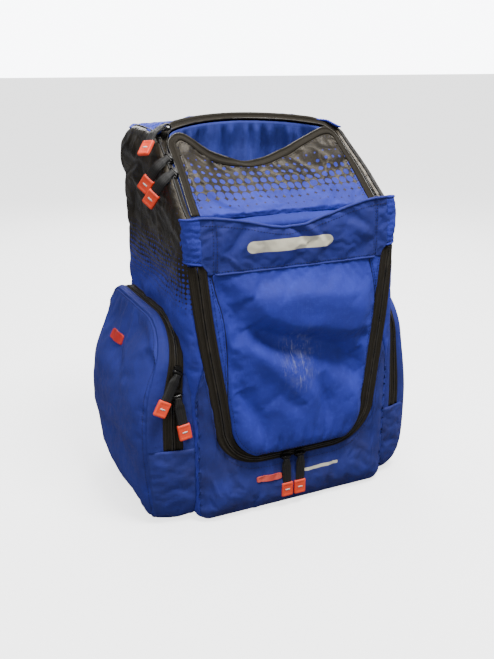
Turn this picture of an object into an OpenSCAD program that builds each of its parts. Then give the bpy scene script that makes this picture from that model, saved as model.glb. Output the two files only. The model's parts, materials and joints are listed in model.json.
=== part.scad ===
// Backpack for disc sports: a sewn shell on a stiff base and back sheet, with a zipped front door over the
// disc bay, a sloping zipped lid over the top compartment, an open putter pocket across the front, two zipped
// side pockets and a harness with two shoulder straps.
// Origin: on the ground, under the middle of the body. +Z is up, -Y is the door side, +Y the wearer's back.

/* [Body] */
// Width of the body across its side panels
body_w = 290; // [280:2:300]
// Outer face of the back panel, behind the origin
back_y = 120; // [116:1:124]
// Outer face of the front panel, ahead of the origin
front_y = 140; // [136:1:144]
// Height of the crown of the top yoke
body_h = 517; // [510:1:524]
// Thickness of a sewn fabric wall
wall = 3; // [2.5:0.5:3.5]
// Gap left between two separate pieces
gap = 0.5; // [0.4:0.1:0.7]

/* [Front door] */
// Half width of the door's zip at its top
door_top_hw = 132; // [128:1:134]
// Half width of the door's zip at the corners below
door_low_hw = 110; // [106:1:118]
// Height of the door's hinge seam
door_hinge_z = 338; // [334:1:342]
// Height of the lower run of the door's zip
door_low_z = 80; // [74:1:86]
// Radius of the door zip's lower corners
door_r = 58; // [46:1:62]
// Thickness of the padded door
door_t = 7; // [5:1:8]

/* [Lid] */
// How far the lid's hinge seam lies ahead of the origin
lid_hinge_y = 117; // [115:1:119]
// Height of the lid's hinge seam
lid_hinge_z = 410; // [408:1:414]
// Slope of the lid as it rests half open
lid_slope = 45; // [43:1:47]
// Length of the lid up its slope
lid_len = 116; // [112:1:118]
// Half width of the lid
lid_hw = 122; // [118:1:123]
// Depth of the dip in the lid's free edge
lid_dip = 34; // [24:1:38]

/* [Side pockets] */
// Thickness of a side pocket
pocket_t = 56; // [50:1:60]
// Height of a side pocket
pocket_h = 276; // [272:1:282]
// Height of the lower end of a side pocket's zip
pocket_zip_z = 107; // [100:1:114]

/* [Zips] */
// Width of one zip tape
tape_w = 7; // [6:0.5:7]
// Thickness of a zip tape
tape_t = 1.5; // [1:0.5:1.5]
// Length of a slider's pull from its bail to its tip
pull_len = 62; // [58:1:64]
// Width of a pull's webbing
pull_w = 12.4; // [11:0.2:13]

/* [Harness] */
// Width of a padded shoulder strap
strap_w = 62; // [56:1:64]
// Thickness of a padded shoulder strap
strap_t = 13; // [10:1:14]
// Half spacing of the shoulder straps at the top
strap_x = 60; // [58:1:62]
// How far a strap stands off the back in its middle
strap_bulge = 40; // [34:1:44]

/* [Hidden] */
$fn = 48;

royal_blue = "royalblue";
navy_blue = "darkblue";
webbing_black = "dimgray";
vinyl_black = "black";
tip_orange = "orangered";
label_red = "red";
print_white = "white";

side_x = body_w / 2;
inner_x = side_x - wall - gap;
floor_z = wall + gap;
shelf_z = door_hinge_z + 7;
chain_gap = gap;

// ---------------------------------------------------------------- helpers

module between(low, high) translate(low) cube(high - low);

// A flat outline drawn in X and Z, from y0 for t towards the back.
module xz_plate(y0, t) translate([0, y0 + t, 0]) rotate([90, 0, 0]) linear_extrude(t) children();

// A flat outline drawn in Y and Z, from x0 for t towards +X.
module yz_plate(x0, t) translate([x0, 0, 0]) rotate([90, 0, 90]) linear_extrude(t) children();

module both_sides() {
    children();
    mirror([1, 0, 0]) children();
}

// side is 1 for the +X half and -1 for the -X half of the object.
module on_side(side) {
    if (side > 0) children();
    else mirror([1, 0, 0]) children();
}

function arc(centre, r, a0, a1, n = 10) =
    [for (i = [0:n]) centre + r * [cos(a0 + (a1 - a0) * i / n), sin(a0 + (a1 - a0) * i / n)]];

function unit(v) = v / norm(v);

// The two long edges of a strip of thickness t that follows a path of points.
function path_normal(path, i) =
    let (a = path[max(i - 1, 0)], b = path[min(i + 1, len(path) - 1)], d = unit(b - a)) [-d.y, d.x];
function band(path, t) = concat(
    [for (i = [0:len(path) - 1]) path[i] + path_normal(path, i) * t / 2],
    [for (i = [len(path) - 1:-1:0]) path[i] - path_normal(path, i) * t / 2]
);

// ---------------------------------------------------------------- base, back and sides

module rounded_rect(low, high, r) {
    between_2d([low.x + r, low.y], [high.x - r, high.y]);
    between_2d([low.x, low.y + r], [high.x, high.y - r]);
    for (x = [low.x + r, high.x - r], y = [low.y + r, high.y - r]) translate([x, y]) circle(r);
}

module between_2d(low, high) translate(low) square(high - low);

base_r = 22;
module base_panel() color(navy_blue)
    linear_extrude(wall) rounded_rect([-inner_x, -front_y + wall + 1], [inner_x, back_y - 1], base_r);

// The stiff board inside the base, clear of its sewn edges all round.
board_t = 3;
board_clear = 7;
board_r = 18;
module base_board() color(print_white)
    translate([0, 0, floor_z]) linear_extrude(board_t)
        rounded_rect([-inner_x + board_clear, -front_y + wall + board_clear + 2],
                     [inner_x - board_clear, back_y - back_t - board_clear], board_r);

back_t = 6;
back_top_z = body_h - 27;
back_r = 34;
module back_panel() color(royal_blue)
    xz_plate(back_y - back_t, back_t)
        rounded_rect([-inner_x, floor_z], [inner_x, back_top_z], back_r);

// The stiff sheet in the back, clear of the back panel's seams.
sheet_t = 2.5;
sheet_clear = 20;
sheet_r = 28;
module frame_sheet() color(print_white)
    xz_plate(back_y - back_t - gap - sheet_t, sheet_t)
        rounded_rect([-inner_x + sheet_clear, sheet_clear],
                     [inner_x - sheet_clear, back_top_z - sheet_clear], sheet_r);

// The side panel's sloping edge lies this far under the lid, so that the zip can wrap over it.
slope_drop = 16;
side_rear_y = back_y - back_t - gap;
side_top_z = body_h - 17;
side_rear_r = 38;
function lid_plane_z(y) = lid_hinge_z + (y + lid_hinge_y) * tan(lid_slope);
lid_corner_y = -33;

module side_panel(side) color(vinyl_black)
    on_side(side) yz_plate(side_x - wall, wall) polygon(concat(
        [[-front_y + wall + gap, floor_z], [side_rear_y, floor_z]],
        arc([side_rear_y - side_rear_r, side_top_z - side_rear_r], side_rear_r, 0, 90),
        [[lid_corner_y + slope_drop, side_top_z], [lid_corner_y + slope_drop,
            lid_plane_z(lid_corner_y) - slope_drop * 0.4]],
        [[-lid_hinge_y, lid_hinge_z - slope_drop], [-front_y + wall + gap, lid_hinge_z - slope_drop - 2]]
    ));

// ---------------------------------------------------------------- front panel, door and its zip

// The line where the door's two zip tapes meet, grown outwards by g. It is open at the top.
function door_outline(g) = concat(
    [[-door_top_hw - g, door_hinge_z]],
    arc([-door_low_hw + door_r, door_low_z + door_r], door_r + g, 180, 270),
    arc([door_low_hw - door_r, door_low_z + door_r], door_r + g, 270, 360),
    [[door_top_hw + g, door_hinge_z]]
);

module front_panel() color(royal_blue)
    xz_plate(-front_y, wall) difference() {
        between_2d([-side_x, 0], [side_x, door_hinge_z]);
        polygon(door_outline(tape_w + chain_gap));
    }

module door_strip(outer, inner, y0) xz_plate(y0, tape_t) difference() {
    polygon(door_outline(outer));
    translate([0, 0.01]) polygon(door_outline(inner));
}

module door_zip_body_tape() color(webbing_black)
    door_strip(tape_w, chain_gap, -front_y + gap);

door_top_gap = 4;
module door_zip_tape() color(webbing_black)
    difference() {
        door_strip(-chain_gap, -tape_w, -front_y + gap);
        between([-side_x, -front_y - 1, door_hinge_z - door_top_gap],
                [side_x, -front_y + 5, door_hinge_z + 1]);
    }

module door_panel() color(royal_blue)
    difference() {
        xz_plate(-front_y - door_t + 1, door_t) polygon(door_outline(-tape_w - gap));
        between([-side_x, -front_y - door_t - 1, door_hinge_z - door_top_gap],
                [side_x, -front_y + 5, door_hinge_z + 1]);
    }

// ---------------------------------------------------------------- putter pocket, shelf and dividers

// An open pouch sewn across the front: an outer band with a sagging lip, a floor and an inner wall.
putter_outer_y = -front_y + 2;
putter_inner_y = -lid_hinge_y + 7;
putter_floor_z = door_hinge_z + 2;
putter_sag = 22;
putter_lip_z = lid_hinge_z - 1;

module putter_pocket() color(royal_blue) difference() {
    between([-inner_x, putter_outer_y, putter_floor_z], [inner_x, putter_inner_y, putter_lip_z]);
    between([-inner_x + wall, putter_outer_y + wall, putter_floor_z + wall],
            [inner_x - wall, putter_inner_y - wall, putter_lip_z + 1]);
    lip_r = (inner_x * inner_x + putter_sag * putter_sag) / (2 * putter_sag);
    translate([0, putter_outer_y - 1, putter_lip_z - putter_sag + lip_r])
        rotate([-90, 0, 0]) cylinder(r = lip_r, h = wall + 2, $fn = 96);
    between([-inner_x - 1, putter_inner_y - wall - 1, putter_lip_z - 8],
            [inner_x + 1, putter_inner_y + 1, putter_lip_z + 1]);
}

shelf_t = 4;
shelf_rear_y = side_rear_y - 4;
module top_floor() color(navy_blue)
    between([-inner_x, putter_inner_y + gap, shelf_z], [inner_x, shelf_rear_y, shelf_z + shelf_t]);

// Two padded sheets that part the disc bay into three columns.
divider_x = 48;
divider_t = 5;
divider_clear = 8;
divider_front_y = -front_y + 14;
divider_z = 12;
module disc_dividers() color(navy_blue) both_sides()
    between([divider_x, divider_front_y, divider_z],
            [divider_x + divider_t, side_rear_y - divider_clear, shelf_z - divider_clear]);

// ---------------------------------------------------------------- yoke and top zip

// The yoke is a crowned sheet across the top; its front edge is the arch of the top compartment's zip.
crown_rise = 14;
crown_r = (pow(side_x - 10, 2) + pow(crown_rise, 2)) / (2 * crown_rise);
arch_foot = [136, -38];
arch_crest_y = 40;
arch_r = (pow(arch_foot.x, 2) + pow(arch_crest_y - arch_foot.y, 2)) / (2 * (arch_crest_y - arch_foot.y));
arch_cy = arch_crest_y - arch_r;

// A crowned sheet between two depths under the crown, over the whole top.
module crown_sheet(top, thick) translate([0, 0, body_h - crown_r]) rotate([90, 0, 0])
    difference() {
        cylinder(r = crown_r - top, h = 400, center = true, $fn = 180);
        cylinder(r = crown_r - top - thick, h = 402, center = true, $fn = 180);
    }

module yoke_panel() color(royal_blue) difference() {
    intersection() {
        crown_sheet(0, wall);
        between([-inner_x, arch_foot.y, body_h - 40], [inner_x, side_rear_y, body_h + 1]);
    }
    translate([0, arch_cy, body_h - 60]) cylinder(r = arch_r, h = 100, $fn = 96);
}

// A strip in the plane of the lid. u runs up the slope from the hinge and w stands off its outer face.
module lid_frame() translate([0, -lid_hinge_y, lid_hinge_z]) rotate([lid_slope, 0, 0]) children();

lid_edge_u = 4;
lid_r = 22;
lid_chain_x = lid_hw + gap + tape_w + chain_gap;
strip_x = lid_chain_x + chain_gap;

module top_zip_body_tape() color(webbing_black) {
    intersection() {
        crown_sheet(0.75, tape_t);
        translate([0, arch_cy, body_h - 60]) difference() {
            cylinder(r = arch_r - gap, h = 100, $fn = 96);
            translate([0, 0, -1]) cylinder(r = arch_r - gap - 8, h = 102, $fn = 96);
        }
        between([-inner_x, arch_foot.y + 1, body_h - 40], [inner_x, arch_crest_y + 1, body_h + 1]);
    }
    both_sides() lid_frame()
        between([strip_x, lid_edge_u, -tape_t / 2], [inner_x, lid_len + tape_w, tape_t / 2]);
}

// ---------------------------------------------------------------- lid

dip_half = lid_hw - lid_r;
function dip(x, depth) = depth * (1 + cos(180 * x / dip_half)) / 2;
function lid_outline(g) = concat(
    [[-lid_hw - g, lid_edge_u], [lid_hw + g, lid_edge_u]],
    arc([lid_hw - lid_r, lid_len - lid_r], lid_r + g, 0, 90),
    [for (i = [7:-1:-7]) let (x = dip_half * i / 8) [x, lid_len + g - dip(x, lid_dip)]],
    arc([-lid_hw + lid_r, lid_len - lid_r], lid_r + g, 90, 180)
);

lid_t = 4;
module lid_panel() color(vinyl_black)
    lid_frame() translate([0, 0, -lid_t / 2]) linear_extrude(lid_t) polygon(lid_outline(0));

module lid_zip_tape() color(webbing_black)
    lid_frame() translate([0, 0, -tape_t / 2]) linear_extrude(tape_t) difference() {
        polygon(lid_outline(gap + tape_w));
        polygon(lid_outline(gap));
        between_2d([-side_x, 0], [side_x, lid_edge_u + 1]);
    }

// ---------------------------------------------------------------- side pockets

pocket_front_y = -112;
pocket_rear_y = 112;
pocket_front_r = 58;
pocket_rear_r = 40;
pocket_in_x = side_x + 2;
pocket_out_x = side_x + 2 + pocket_t;
zip_rear = [110, pocket_h - 50];
zip_front = [pocket_front_y, pocket_zip_z];
hinge_dir = unit(zip_rear - zip_front);
hinge_up = [-hinge_dir.y, hinge_dir.x];
// Distances across the pocket's gusset, from the body outwards.
gusset_in_x = pocket_in_x + 15;
chain_x = gusset_in_x + gap + tape_w + chain_gap;
gusset_out_x = chain_x + chain_gap + tape_w + gap;

function pocket_outline(g) = concat(
    [[pocket_front_y - g, -g], [pocket_rear_y + g, -g]],
    arc([pocket_rear_y - pocket_rear_r, pocket_h - pocket_rear_r], pocket_rear_r + g, 0, 90),
    arc([pocket_front_y + pocket_front_r, pocket_h - pocket_front_r], pocket_front_r + g, 90, 180)
);

// Everything on the upper front side of the line between the zip's two ends, moved off it by d.
module above_hinge(d) {
    a = zip_front + hinge_up * d - hinge_dir * 300;
    b = zip_rear + hinge_up * d + hinge_dir * 300;
    polygon([a, b, b + hinge_up * 500, a + hinge_up * 500]);
}

module pocket_wall_outline(t) difference() {
    polygon(pocket_outline(0));
    polygon(pocket_outline(-t));
}

module pocket_shell(side) color(royal_blue) on_side(side) {
    yz_plate(pocket_in_x, pocket_t) difference() {
        pocket_wall_outline(wall);
        above_hinge(-gap);
    }
    yz_plate(pocket_in_x, gusset_in_x - pocket_in_x) intersection() {
        pocket_wall_outline(wall);
        above_hinge(-gap - 1);
    }
    yz_plate(pocket_out_x - wall, wall) difference() {
        polygon(pocket_outline(0));
        above_hinge(-gap);
    }
}

module pocket_flap(side) color(royal_blue) on_side(side) {
    yz_plate(gusset_out_x, pocket_out_x - gusset_out_x) intersection() {
        pocket_wall_outline(wall);
        above_hinge(gap);
    }
    yz_plate(pocket_out_x - wall, wall) intersection() {
        polygon(pocket_outline(0));
        above_hinge(gap);
    }
}

module pocket_tape(side, x0) color(webbing_black) on_side(side)
    yz_plate(x0, tape_w) intersection() {
        difference() {
            polygon(pocket_outline(-gap));
            polygon(pocket_outline(-gap - tape_t));
        }
        above_hinge(gap);
    }

// ---------------------------------------------------------------- labels

label_t = 1;
label_lift = 0.2;

// A flat label w wide and h high, lying in X and Z and centred on a point of its rear face.
module label(w, h) between([-w / 2, -label_t, -h / 2], [w / 2, 0, h / 2]);

front_label_x = -44.5;
front_label_z = 49.5;
module front_label() color(label_red)
    translate([front_label_x, -front_y - label_lift, front_label_z]) label(39, 9);

pocket_label_y = 15;
pocket_label_z = 222;
module pocket_label(side) color(label_red) on_side(side)
    translate([pocket_out_x + label_lift, pocket_label_y, pocket_label_z]) rotate([0, 0, 90]) label(40, 15);

// ---------------------------------------------------------------- sliders and pulls

// A slider's own frame: its bail bar lies along X, its pull hangs towards -Y, and +Z stands off the tape.
bar_h = 6.5;
bar_r = 1.4;
eye_r = 3;
post_t = 1.5;
post_x = 4.6;

// turn is the angle from the bail bar's frame to the direction in which the slider travels.
module slider(turn = 0) color(webbing_black) {
    rotate([0, 0, turn]) translate([0, 0, slider_rise]) linear_extrude(2.6)
        polygon([[-6, -3], [-3.5, -8], [3.5, -8], [6, -3], [6, 5], [2.5, 8], [-2.5, 8], [-6, 5]]);
    for (x = [-post_x - post_t, post_x])
        between([x, -2, 1.5], [x + post_t, 2, bar_h + bar_r]);
    translate([0, 0, bar_h]) rotate([0, 90, 0]) cylinder(r = bar_r, h = 2 * post_x + post_t, center = true);
}

// The pull's side view: it leaves the bar at angle a1 under the tape's plane and bends to a2 after reach.
tip_len = 21;
tip_hw = 8.5;
eye_reach = 7.5;
function pull_path(a1, reach, a2) = let (
    knee = -reach * [cos(a1), sin(a1)],
    end = knee - (pull_len - tip_len - reach) * [cos(a2), sin(a2)]
) [[-eye_r + 0.6, 0], knee, end];

module pull_strip(points, w) rotate([90, 0, 90]) translate([0, 0, -w / 2]) linear_extrude(w) polygon(points);

module pull(a1 = 0, reach = 10, a2 = 0) color(tip_orange) translate([0, 0, bar_h]) {
    path = pull_path(a1, reach, a2);
    rotate([0, 90, 0]) difference() {
        cylinder(r = eye_r, h = 2 * post_x - 0.8, center = true);
        cylinder(r = bar_r + 0.08, h = 20, center = true);
    }
    rotate([a1, 0, 0])
        between([-post_x + 0.9, -eye_reach, -1.6], [post_x - 0.9, -bar_r - 0.5, 1.6]);
    pull_strip(band([unit(path[1]) * (eye_reach - 1), path[1], path[2]], 2.2), pull_w);
    translate([0, path[2].x, path[2].y]) rotate([a2, 0, 0])
        between([-tip_hw, -tip_len, -2.4], [tip_hw, 1.5, 2.4]);
}

// Where each slider sits: the part of the object it is on sets the frame.
slider_rise = 0.3;
slider_hw = 6.2;
module at_door(x) translate([x, -front_y - gap, door_low_z - chain_gap - slider_hw])
    rotate([90, 0, 0]) children();
door_slider_mid = -9;
door_slider_left = door_slider_mid - 11;
door_slider_right = door_slider_mid + 11;

// The left pocket's sliders sit one above the other on its front, with their pulls hanging down.
// tilt turns a pull sideways.
module at_front(z, tilt) on_side(-1)
    translate([chain_x - chain_gap - slider_hw, pocket_front_y, z]) rotate([90, 0, 0]) rotate([0, 0, tilt])
        children();
slider_spacing = 31;
front_upper_z = pocket_h - pocket_front_r;
front_lower_z = front_upper_z - slider_spacing;
upper_tilt = 30;
lower_tilt = -8;

// The right pocket's sliders sit along its top, with their pulls lying towards the back.
module at_top(y, tilt) translate([chain_x - chain_gap - slider_hw, y, pocket_h])
    rotate([0, 0, 180 + tilt]) children();
top_front_y = -30;
top_rear_y = top_front_y + slider_spacing;
front_tilt = -30;
rear_tilt = 8;

module pocket_pull() pull(-5, 12, -5);

// u up the lid's slope, on the -X side, with the pull pointing out over the side panel.
lid_tilt = 30;
module at_lid(u) lid_frame() translate([-strip_x - slider_hw, u, tape_t / 2])
    rotate([0, 0, -90 + lid_tilt]) children();
lid_upper_u = 85;
lid_lower_u = 63;
lid_droop = 66;

arch_slider_x = 127;
arch_slider_r = arch_r - gap - 4;
arch_slider_y = arch_cy + sqrt(pow(arch_slider_r, 2) - pow(arch_slider_x, 2));
arch_slider_z = body_h - crown_r + sqrt(pow(crown_r - 0.75, 2) - pow(arch_slider_x, 2));
arch_tilt = 30;
module at_arch() translate([-arch_slider_x, arch_slider_y, arch_slider_z + 0.6])
    rotate([0, -asin(arch_slider_x / crown_r), 0]) rotate([0, 0, -90 + arch_tilt]) children();
arch_travel = atan2(arch_slider_y - arch_cy, -arch_slider_x) - 90 - arch_tilt;

// ---------------------------------------------------------------- back pads and harness

back_pad_t = 10;
module pad_between(low, high, r) xz_plate(back_y + gap, back_pad_t) rounded_rect(low, high, r);

// Two tall pads beside the spine channel, and one wide pad low on the back.
upper_pad_low = [14, 224];
upper_pad_high = [118, 392];
lower_pad_low = [-92, 70];
lower_pad_high = [92, 190];
module back_pads() color(webbing_black) {
    both_sides() pad_between(upper_pad_low, upper_pad_high, 24);
    pad_between(lower_pad_low, lower_pad_high, 30);
}

// The strap's own frame: origin at its top anchor, leaning outwards so that it ends at its lower anchor.
strap_top_z = 438;
strap_lean = 8;
strap_anchor_y = 139;
strap_low = [126, -393];
module strap_frame(side) on_side(side) translate([strap_x, 0, strap_top_z]) rotate([0, -strap_lean, 0])
    children();

// A bow from p to q that bulges sideways by sag at its middle.
function bow(p, q, sag, n = 16) = [for (i = [0:n])
    p + (q - p) * i / n + [-unit(q - p).y, unit(q - p).x] * sag * sin(180 * i / n)];

pad_low = [150, -250];
module strap_pad(side) color(webbing_black) strap_frame(side)
    yz_plate(-strap_w / 2, strap_w)
        polygon(band(bow([strap_anchor_y, 0], pad_low, strap_bulge), strap_t));

adjuster_top = pad_low.y - strap_t / 2 - 1;
module strap_adjuster(side) color(vinyl_black) strap_frame(side) difference() {
    between([-18, pad_low.x - 5, adjuster_top - 26], [18, pad_low.x + 5, adjuster_top]);
    for (z = [adjuster_top - 10, adjuster_top - 21])
        between([-13.5, pad_low.x - 6, z], [13.5, pad_low.x + 6, z + 4.5]);
}

module strap_webbing(side) color(webbing_black) strap_frame(side)
    yz_plate(-12.5, 25) polygon(band([[pad_low.x - 2, adjuster_top - 27], strap_low], 2));

// The sewn blocks that a strap's two ends are stitched into.
root_t = 9;
upper_root_low = [strap_x - 12, strap_top_z - 14];
upper_root_high = [strap_x + 12, strap_top_z + 12];
lower_root_low = [strap_x + 42, 18];
lower_root_high = [strap_x + 70, 45];
module root(low, high) xz_plate(back_y + gap, root_t - gap) between_2d(low, high);
module strap_roots() color(webbing_black) both_sides() {
    root(upper_root_low, upper_root_high);
    root(lower_root_low, lower_root_high);
}

sternum_z = -112;
sternum_y = strap_anchor_y + 5 + strap_bulge + strap_t / 2 + 2.5;
sternum_len = 30;
module sternum_webbing(side) color(webbing_black) strap_frame(side)
    between([-10, sternum_y, sternum_z - sternum_len], [10, sternum_y + 2, sternum_z + 8]);

module sternum_buckle(side) color(vinyl_black) strap_frame(side)
    translate([0, sternum_y - 1.5, sternum_z - sternum_len - gap]) {
        between([-15, 0, -12], [15, 9, 0]);
        if (side < 0)
            for (x = [-12, -2.5, 7]) between([x, 2, -22], [x + 5, 7, -11]);
        else difference() {
            between([-15, 0, -24], [15, 9, -11]);
            between([-12.5, 2, -25], [12.5, 7, -13]);
        }
    }

handle_y = back_y + 8.5;
handle_z = body_h - 29;
handle_hw = 46;
handle_drop = 30;
module grab_handle() color(webbing_black) translate([0, handle_y, handle_z]) {
    both_sides() between([handle_hw - 10, -1.5, -handle_drop - 4], [handle_hw + 10, 1.5, 3]);
    translate([0, 0, -handle_drop]) rotate([0, 90, 0])
        cylinder(r = 7.5, h = 2 * handle_hw - 16, center = true);
}

// ---------------------------------------------------------------- nodes

base_panel();
base_board();
back_panel();
frame_sheet();
side_panel(-1);  // side_panel_left
side_panel(1);  // side_panel_right
front_panel();
yoke_panel();
putter_pocket();
top_floor();
disc_dividers();
door_zip_body_tape();
top_zip_body_tape();
pocket_shell(-1);  // pocket_left_shell
pocket_shell(1);  // pocket_right_shell
pocket_tape(-1, gusset_in_x + gap);  // pocket_left_body_tape
pocket_tape(1, gusset_in_x + gap);  // pocket_right_body_tape
back_pads();
strap_roots();
front_label();
pocket_label(-1);  // pocket_left_label
pocket_label(1);  // pocket_right_label
door_panel();
door_zip_tape();
lid_panel();
lid_zip_tape();
pocket_flap(-1);  // pocket_left_flap
pocket_tape(-1, chain_x + chain_gap);  // pocket_left_flap_tape
pocket_flap(1);  // pocket_right_flap
pocket_tape(1, chain_x + chain_gap);  // pocket_right_flap_tape
at_door(door_slider_left) slider(90);  // slider_door_left
at_door(door_slider_right) slider(90);  // slider_door_right
at_arch() slider(arch_travel);  // slider_arch
at_lid(lid_upper_u) slider(90 - lid_tilt);  // slider_lid_upper
at_lid(lid_lower_u) slider(90 - lid_tilt);  // slider_lid_lower
at_front(front_upper_z, upper_tilt) slider(-upper_tilt);  // slider_pocket_left_upper
at_front(front_lower_z, lower_tilt) slider(-lower_tilt);  // slider_pocket_left_lower
at_top(top_front_y, front_tilt) slider(-front_tilt);  // slider_pocket_right_front
at_top(top_rear_y, rear_tilt) slider(-rear_tilt);  // slider_pocket_right_rear
at_door(door_slider_left) pull();  // pull_door_left
at_door(door_slider_right) pull();  // pull_door_right
at_arch() pull(8, 26, 40);  // pull_arch
at_lid(lid_upper_u) pull(14, 21, lid_droop);  // pull_lid_upper
at_lid(lid_lower_u) pull(14, 21, lid_droop);  // pull_lid_lower
at_front(front_upper_z, upper_tilt) pocket_pull();  // pull_pocket_left_upper
at_front(front_lower_z, lower_tilt) pocket_pull();  // pull_pocket_left_lower
at_top(top_front_y, front_tilt) pocket_pull();  // pull_pocket_right_front
at_top(top_rear_y, rear_tilt) pocket_pull();  // pull_pocket_right_rear
strap_pad(-1);  // strap_left_pad
strap_webbing(-1);  // strap_left_webbing
strap_adjuster(-1);  // strap_left_adjuster
strap_pad(1);  // strap_right_pad
strap_webbing(1);  // strap_right_webbing
strap_adjuster(1);  // strap_right_adjuster
sternum_webbing(-1);  // sternum_left_webbing
sternum_buckle(-1);  // sternum_buckle_male
sternum_webbing(1);  // sternum_right_webbing
sternum_buckle(1);  // sternum_buckle_female
grab_handle();
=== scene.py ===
"""The looks of a disc-sports backpack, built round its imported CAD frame.

Shapes are worked out in millimetres from the frame and scaled to metres as each mesh is made. A sewn panel
is a Patch: a grid of flat pattern points that a surface function lays onto the bag. Its folds are formed on
that grid, Cloth settles it, and seams, stitches and zips are then laid along pattern lines on the result.
"""

import json
import math

import bmesh
import bpy
import numpy as np
from mathutils import Matrix, Vector
from mathutils.bvhtree import BVHTree
from mathutils.geometry import barycentric_transform


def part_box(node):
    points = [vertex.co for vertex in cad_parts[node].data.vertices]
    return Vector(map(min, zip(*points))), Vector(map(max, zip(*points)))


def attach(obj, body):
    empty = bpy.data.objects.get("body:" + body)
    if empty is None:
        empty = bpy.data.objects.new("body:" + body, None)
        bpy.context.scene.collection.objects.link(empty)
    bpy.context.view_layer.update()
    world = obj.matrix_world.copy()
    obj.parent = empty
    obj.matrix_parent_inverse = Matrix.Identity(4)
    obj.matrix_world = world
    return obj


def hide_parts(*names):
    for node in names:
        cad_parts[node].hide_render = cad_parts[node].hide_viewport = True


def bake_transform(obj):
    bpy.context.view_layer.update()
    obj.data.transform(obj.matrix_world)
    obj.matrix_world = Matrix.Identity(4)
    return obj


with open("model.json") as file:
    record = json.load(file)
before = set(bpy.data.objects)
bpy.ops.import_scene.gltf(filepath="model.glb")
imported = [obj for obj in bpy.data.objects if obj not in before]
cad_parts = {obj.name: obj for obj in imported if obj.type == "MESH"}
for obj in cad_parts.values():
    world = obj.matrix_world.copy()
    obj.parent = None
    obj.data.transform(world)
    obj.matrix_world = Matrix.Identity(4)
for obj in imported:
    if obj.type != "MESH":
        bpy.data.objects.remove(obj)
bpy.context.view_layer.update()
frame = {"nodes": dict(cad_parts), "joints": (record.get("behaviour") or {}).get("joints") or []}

PI = math.pi
JOINTS = {j["name"]: j for j in frame["joints"]}

# ------------------------------------------------------------------ sizes read from the frame, in mm


def low(node):
    return np.array(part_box(node)[0]) * 1000


def high(node):
    return np.array(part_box(node)[1]) * 1000


def joint_at(name):
    return np.array(JOINTS[name]["pos_m"]) * 1000


front_y = low("front_panel")[1]
back_y = high("back_panel")[1]
side_x = high("side_panel_right")[0]
body_h = high("yoke_panel")[2]
shelf_z = high("top_floor")[2]
hinge_z = joint_at("door_hinge")[2]
CAD_TAPE = 7.0
door_top_hw = high("door_zip_body_tape")[0] - CAD_TAPE
door_low_z = low("door_zip_body_tape")[2] + CAD_TAPE
door_low_hw = door_top_hw - 22
door_r = 58.0
lid_hinge = joint_at("lid_hinge")
lid_hw = high("lid_panel")[0]
LID_SLOPE = math.radians(45)
lid_len = 116.0
pocket_in = low("pocket_right_shell")[0]
pocket_out = high("pocket_right_shell")[0]
pocket_front = low("pocket_right_shell")[1]
pocket_rear = high("pocket_right_shell")[1]
pocket_h = high("pocket_right_flap")[2]
pocket_chain = high("pocket_right_body_tape")[0] + 0.5
fold_front = joint_at("pocket_right_hinge")[1:]
fold_dir = np.array(JOINTS["pocket_right_hinge"]["axis"])[1:]
strap_top = joint_at("shoulder_strap_right_swing")

WORD = {-1: "left", 1: "right"}
FRONT_R, BACK_R = 14.0, 24.0
TAPE = 12.0
LOW_RUN = 0.5
SEAM_TOP = hinge_z + 5

# ------------------------------------------------------------------ small geometry helpers


def smooth(x, a, b):
    """0 below a, 1 above b and a soft step between them."""
    t = np.clip((np.asarray(x, float) - a) / (b - a), 0, 1)
    return t * t * (3 - 2 * t)


def bump(x, centre, width):
    return np.exp(-(((np.asarray(x, float) - centre) / width) ** 2))


def same(v, n):
    """The vector v, n times over."""
    return np.repeat([np.asarray(v, float)], n, 0)


def unit(v):
    v = np.asarray(v, float)
    return v / np.maximum(np.linalg.norm(v, axis=-1, keepdims=True), 1e-9)


def lerp(a, b, t):
    return a + (b - a) * t


def wobble(p, size, seed, octaves=3):
    """A smooth seeded field of about -1 to 1 whose features are about size across."""
    g = np.random.default_rng(seed)
    p = np.asarray(p, float)
    out = np.zeros(p.shape[:-1])
    for octave in range(octaves):
        for _ in range(4):
            d = unit(g.normal(size=p.shape[-1]))
            out += np.sin(p @ d * (2 * PI * 2**octave / size) + g.uniform(0, 2 * PI)) / 4 / 1.9**octave
    return out


def run(path):
    """How far along a line each of its points is."""
    return np.r_[0, np.cumsum(np.linalg.norm(np.diff(path, axis=0), axis=1))]


def between(t, s, values):
    """Rows of values, which are known at the distances s, at the distances t."""
    return np.stack([np.interp(t, s, column) for column in values.T], -1)


def resample(path, step):
    """The same line with points step apart."""
    path = np.asarray(path, float)
    s = run(path)
    n = max(int(round(s[-1] / step)), 2)
    return between(np.linspace(0, s[-1], n + 1), s, path)


def soften(path, rounds=2):
    """Rounds a line's corners and keeps its ends."""
    path = np.asarray(path, float)
    for _ in range(rounds):
        a, b = path[:-1], path[1:]
        mid = np.stack([lerp(a, b, 0.25), lerp(a, b, 0.75)], 1).reshape(-1, path.shape[1])
        path = np.vstack([path[:1], mid, path[-1:]])
    return path


def tangents(path):
    return unit(np.gradient(path, axis=0))


def arc(cx, cy, r, a0, a1, n=14):
    a = np.radians(np.linspace(a0, a1, n))
    return np.stack([cx + r * np.cos(a), cy + r * np.sin(a)], -1)


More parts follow.
